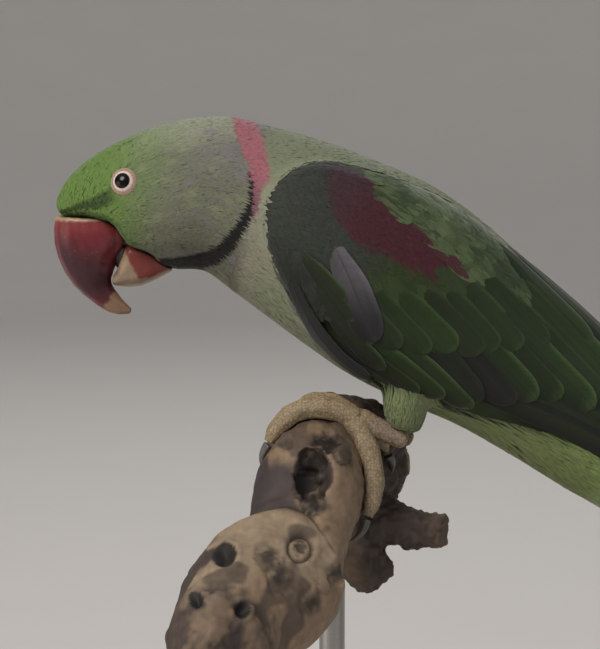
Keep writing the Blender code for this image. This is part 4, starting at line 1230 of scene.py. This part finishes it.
def perchWood(p, n):
    # bleached wood in old creases and purple-brown bark left on the sides, with painted light on top and painted shade
    # in its hollows
    x, y, z = p.T
    big, middle, small = (cloud(p, size, k) - 0.5 for k, size in enumerate((14.0, 5.0, 1.4)))
    grain = cloud(p * (1, 0.22, 1), 0.9, 7) - 0.5
    bark = ease(-n[:, 0] * 0.9 - n[:, 2] * 0.45 + big * 1.1 + middle * 0.5, 0.2, 0.45) * (1 - ease(y, -30, -24))
    shaded = ease(-x + 7 * middle + 3 * small, -1, 2) * ease(-z + 3 * middle, 34, 37.5)
    shaded *= ease(y, -54, -48) * (1 - ease(y, -28, -24))
    # the far side and the stub at the right get painted shade
    far, stub = ease(y + 6 * big, -27, -15), ease(x + 3 * middle, 15, 21)
    lump = ease(-y + 3 * big, 87, 93)  # the near end
    offset = 0.9 * big + 0.75 * middle + 0.15 * small + 0.08 * grain
    offset += (stub + far) * (1.3 * middle + 0.7 * small) + lump * (1.6 * middle + 0.5 * small)
    # the knob's rim stands over the waist behind it
    rim = y - np.interp(x, *waist.T)
    upper = ease(n[:, 2], -0.1, 0.4) * ease(-z, 40, 44)
    offset += upper * (1.5 * bell(rim, 3.2, -3.0) - 1.6 * bell(rim, 1.5, 1.2))
    first, second, _ = cells(p + small[:, None] * 3 + middle[:, None] * 5, 17.0, 5)
    creases = (1 - ease(second - first, 0.1, 0.8)) * ease(big, 0.05, 0.25) * ease(-z, 58, 64)
    offset -= 0.5 * creases
    tone = over(
        # painted light: paler on the upper faces
        wash(len(p), "#816c56"), "#96866f", ease(n[:, 2] + big * 0.8, 0.3, 0.9) * 0.7 * (1 - ease(y, -55, -48)),
        "#2e2222", bark * 0.9,
        "#342c2d", shaded * 0.95,
        # painted shade on the far side and on the stub
        "#3c312b", far * 0.85,
        "#362c26", stub * 0.8,
        "#6a5642", ease(x + 3 * middle, 38, 42) * 0.6,
        "#55463a", lump * 0.6,
        "#352c25", lump * ease(-middle - 0.3 * small, -0.12, 0.14) * 0.9,
        # painted shade in the groove behind the knob's rim, and painted light along its crest
        "#2b241f", upper * bell(rim, 0.7, 0.9) * 0.8,
        "#9a866c", upper * bell(rim, 2.0, -2.2) * 0.5,
        "#2e2722", creases * 0.8,
        "#463a33", ease(-middle - 0.8 * big, 0.2, 0.36) * 0.75)
    for centre, radius, kind in knots:
        dx, dy, dz = (p - centre).T  # knots look round from the front, so they run far along the upper side
        away = np.sqrt(dx**2 + (0.12 * dy + 0.99 * dz) ** 2 + (0.3 * dy) ** 2)
        away += (small * 0.35 + middle * 0.4) * radius * (kind not in ("ring", "hole"))
        inside = 1 - ease(away, radius * (0.3 if kind == "hole" else 0.7), radius)
        lip = bell(away, radius * 0.25, radius * 1.25)
        if kind == "hole":
            offset += 0.5 * lip - 0.85 * radius * inside
            # painted shade: the inside of the hole drawn near black
            tone = over(tone, "#0d0b0a", (1 - ease(away, radius * 0.95, radius * 1.08)) * 0.97)
        elif kind == "ring":
            groove = away - radius * 0.85
            offset += 0.35 * lip - 0.9 * bell(groove, 0.5) - 0.6 * (1 - ease(away, 0.3, radius * 0.45))
            tone = over(tone, "#2b231e", bell(groove, 0.45) * 0.9,
                        "#3a3029", (1 - ease(away + small * 2, radius * 0.3, radius * 0.6)) * 0.85)
        elif kind == "eye":
            offset += 0.35 * lip - 0.7 * inside
            tone = over(tone, "#3b312a", inside * 0.7)
        elif kind == "hollow":
            offset -= 1.7 * inside * (0.8 + middle)
            # painted shade deep in the hollow
            tone = over(tone, "#191613", inside * ease(small + 0.5 * middle, -0.45, 0.0) * 0.95)
        elif kind == "chip":
            offset += 1.2 * inside
            # a painted shadow line round the chip's lifted edge
            tone = over(tone, "#4a4038", inside * 0.9, "#151210", bell(away, 0.35, radius) * 0.9)
        else:
            offset -= 0.6 * inside
            spread = 1 - ease(away, radius * 0.35, radius * 1.15)
            tone = over(tone, "#332a25", spread * 0.9 * ease(middle + small, -0.4, 0.1),
                        "#1f1a17", (1 - ease(away, 0, radius * 0.6)) * 0.7)
    return offset, tone * (1 + 0.3 * grain + 0.15 * small)[:, None]


perchTimber = hornMaterial("weathered hardwood branch, sand-blasted", 0.72, 0.0, 320.0)
carved("perch_wood", ["perch_branch"], "branch_wood", perchTimber, perchWood, grow=0.3, voxel=0.7, smoothing=14)


def rounded(radius, thick, bevel, steps=6):
    # a turned part's profile of radius and height, from the middle of its foot to the middle of its top
    turn = np.linspace(0, math.pi / 2, steps)
    foot = [(radius - bevel + bevel * math.sin(a), bevel - bevel * math.cos(a) - thick / 2) for a in turn]
    top = [(radius - bevel + bevel * math.cos(a), thick / 2 - bevel + bevel * math.sin(a)) for a in turn]
    return [(0.01, -thick / 2)] + foot + top + [(0.01, thick / 2)]


def stainedWood():
    # turned hardwood, stained dark and waxed: long grain lines under a soft shine
    material, tree, shader = newMaterial("turned walnut-stained hardwood, waxed", Roughness=0.42, Coat_Weight=0.2,
                                         Coat_Roughness=0.3, IOR=1.5)
    spot = addNode(tree, "TexCoord").outputs["Object"]
    stretched = addNode(tree, "Mapping", {"Scale": (9.0, 90.0, 60.0)}, Vector=spot)
    grain = addNode(tree, "TexNoise", {"Scale": 1.0, "Detail": 5.0, "Distortion": 0.6}, Vector=stretched.outputs[0])
    pores = addNode(tree, "Mapping", {"Scale": (60.0, 900.0, 400.0)}, Vector=spot)
    pore = addNode(tree, "TexNoise", {"Scale": 1.0, "Detail": 2.0}, Vector=pores.outputs[0])
    ramp = addNode(tree, "MapRange", {"From Min": 0.35, "From Max": 0.65}, Value=grain.outputs["Fac"])
    tone = addNode(tree, "Mix", {"data_type": "RGBA", 6: (*linear("#3a2619"), 1), 7: (*linear("#6a4a30"), 1)},
                   input0=ramp.outputs[0])
    deep = addNode(tree, "MapRange", {"From Min": 0.3, "From Max": 0.5, "To Min": 0.7, "To Max": 1.0},
                   Value=pore.outputs["Fac"])
    texture(shader, tone.outputs[2], deep, pore.outputs["Fac"], 0.3, 0.0001)
    return material


def brushedSteel():
    # drawn steel rod, brushed round: fine rings break its highlight into a soft band
    material, tree, shader = newMaterial("stainless steel, brushed round the rod", Metallic=1.0)
    spot = addNode(tree, "TexCoord")
    rings = addNode(tree, "Mapping", {"Scale": (30.0, 30.0, 5000.0)}, Vector=spot.outputs["Object"])
    brushing = addNode(tree, "TexNoise", {"Scale": 1.0, "Detail": 3.0}, Vector=rings.outputs[0]).outputs["Fac"]
    dull = addNode(tree, "MapRange", {"To Min": 0.24, "To Max": 0.42}, Value=brushing)
    tone = addNode(tree, "Mix", {"data_type": "RGBA", 6: (*linear("#8f8e8c"), 1), 7: (*linear("#a9a8a5"), 1)},
                   input0=brushing)
    bump = addNode(tree, "Bump", {"Strength": 0.15, "Distance": 0.00005}, Height=brushing)
    plug(shader, Base_Color=tone.outputs[2], Roughness=dull.outputs[0], Normal=bump.outputs[0])
    return material


steel, walnut = brushedSteel(), stainedWood()
stand = {  # each piece's node, rounded edge in mm, sides, slot and material
    "base_board": ("stand_base", 1.2, 160, "stand_wood", walnut),
    "collar_ring": ("stand_collar", 1.0, 96, "stand_steel", steel),
    "rod_post": ("stand_rod", 0.6, 64, "stand_steel", steel),
}
cove = {"radius": 3.5, "inward": 5.0, "fillet": 1.0}  # the groove turned near the base's rim
for name, (nodeName, bevel, turns, slotName, material) in stand.items():
    low, high = boxOf(nodeName)
    radius, thick = (high[0] - low[0]) / 2, high[2] - low[2]
    profile = rounded(radius, thick, bevel)
    if name == "base_board":
        bends = [(radius - cove["inward"] - cove["radius"] * math.cos(a), thick / 2 - cove["radius"] * math.sin(a))
                 for a in np.linspace(0.2, math.pi - 0.2, 10)]
        profile[-2:-1] = [(radius - cove["fillet"], thick / 2 - 0.05)] + bends[::-1]
    places, faces, _ = lathed(*np.array(profile).T, turns)
    piece = meshOf(name, places.reshape(-1, 3) + (low + high) / 2, faces[:, ::-1], None, None, material)
    finish(piece, slotName, nodeName)


# A plain pale floor that curves up to a wall all round, the light and the camera

print("stage")
view = {"target": birdAt, "rise": 7.0, "distance": 650.0, "frameWidth": 181.8, "sensor": 36}


bowl = {"flat": 2.2, "bend": 0.8, "wall": 2.4, "turns": 96}  # sizes in metres
bowlProfile = [(0.00001, 0.0), (bowl["flat"] - 0.2, 0.0), (bowl["flat"], 0.0)]
bowlProfile += [(bowl["flat"] + bowl["bend"] * math.sin(a), bowl["bend"] * (1 - math.cos(a)))
                for a in np.linspace(0.1, math.pi / 2, 12)]
bowlProfile += [(bowl["flat"] + bowl["bend"], bowl["wall"])]
floorPaint, floorTree, shader = newMaterial("matt painted studio floor, rolled", Roughness=0.9)
grain = addNode(floorTree, "TexNoise", {"Scale": 60.0, "Detail": 4.0})
tone = addNode(floorTree, "Mix", {"data_type": "RGBA", 6: (*linear("#cfccc7"), 1), 7: (*linear("#d3d0cb"), 1)},
               input0=grain.outputs["Fac"])
plug(shader, Base_Color=tone.outputs[2])
places, faces, _ = lathed(*np.transpose(bowlProfile), bowl["turns"])
meshOf("floor", places.reshape(-1, 3) * 1000 - birdAt, faces[:, ::-1], None, None, floorPaint)

target = Vector(view["target"]) * 0.001
softBoxes = {  # place and width in metres, power in watts, colour
    "soft box above and in front": ((-0.75, -0.95, 1.35), 0.9, 20, "#fff6ec"),
    "soft box low on the left": ((-1.3, -0.6, 0.2), 0.9, 3.2, "#fff8f0"),
    "soft box at the right, for fill": ((1.3, -1.2, 0.7), 1.2, 3, "#eef3ff"),
    "soft box above and behind": ((0.2, 1.2, 1.5), 1.2, 8, "#ffffff"),
}
for name, (at, size, power, code) in softBoxes.items():
    lamp = bpy.data.lights.new(name, "AREA")
    lamp.shape, lamp.size, lamp.energy, lamp.color = "DISK", size, power, linear(code)
    piece = placed(name, lamp)
    piece.location = at
    piece.rotation_euler = (target - Vector(at)).to_track_quat("-Z", "Y").to_euler()
world = bpy.data.worlds.new("studio air")
world.use_nodes = True
air = world.node_tree.nodes["Background"]
air.inputs["Color"].default_value, air.inputs["Strength"].default_value = (0.9, 0.92, 1.0, 1), 0.35
bpy.context.scene.world = world

camera = bpy.data.cameras.new("camera")
camera.sensor_fit, camera.sensor_width = "HORIZONTAL", view["sensor"]
camera.lens = view["sensor"] * view["distance"] / view["frameWidth"]
camera.clip_start = 0.02
cameraPiece = placed("camera", camera)
rise = math.radians(view["rise"])
cameraPiece.location = target + Vector((0, -math.cos(rise), math.sin(rise))) * view["distance"] * 0.001
cameraPiece.rotation_euler = (math.pi / 2 - rise, 0, 0)
bpy.context.scene.camera = cameraPiece
bpy.context.scene.view_settings.view_transform = "Standard"

bpy.context.view_layer.update()
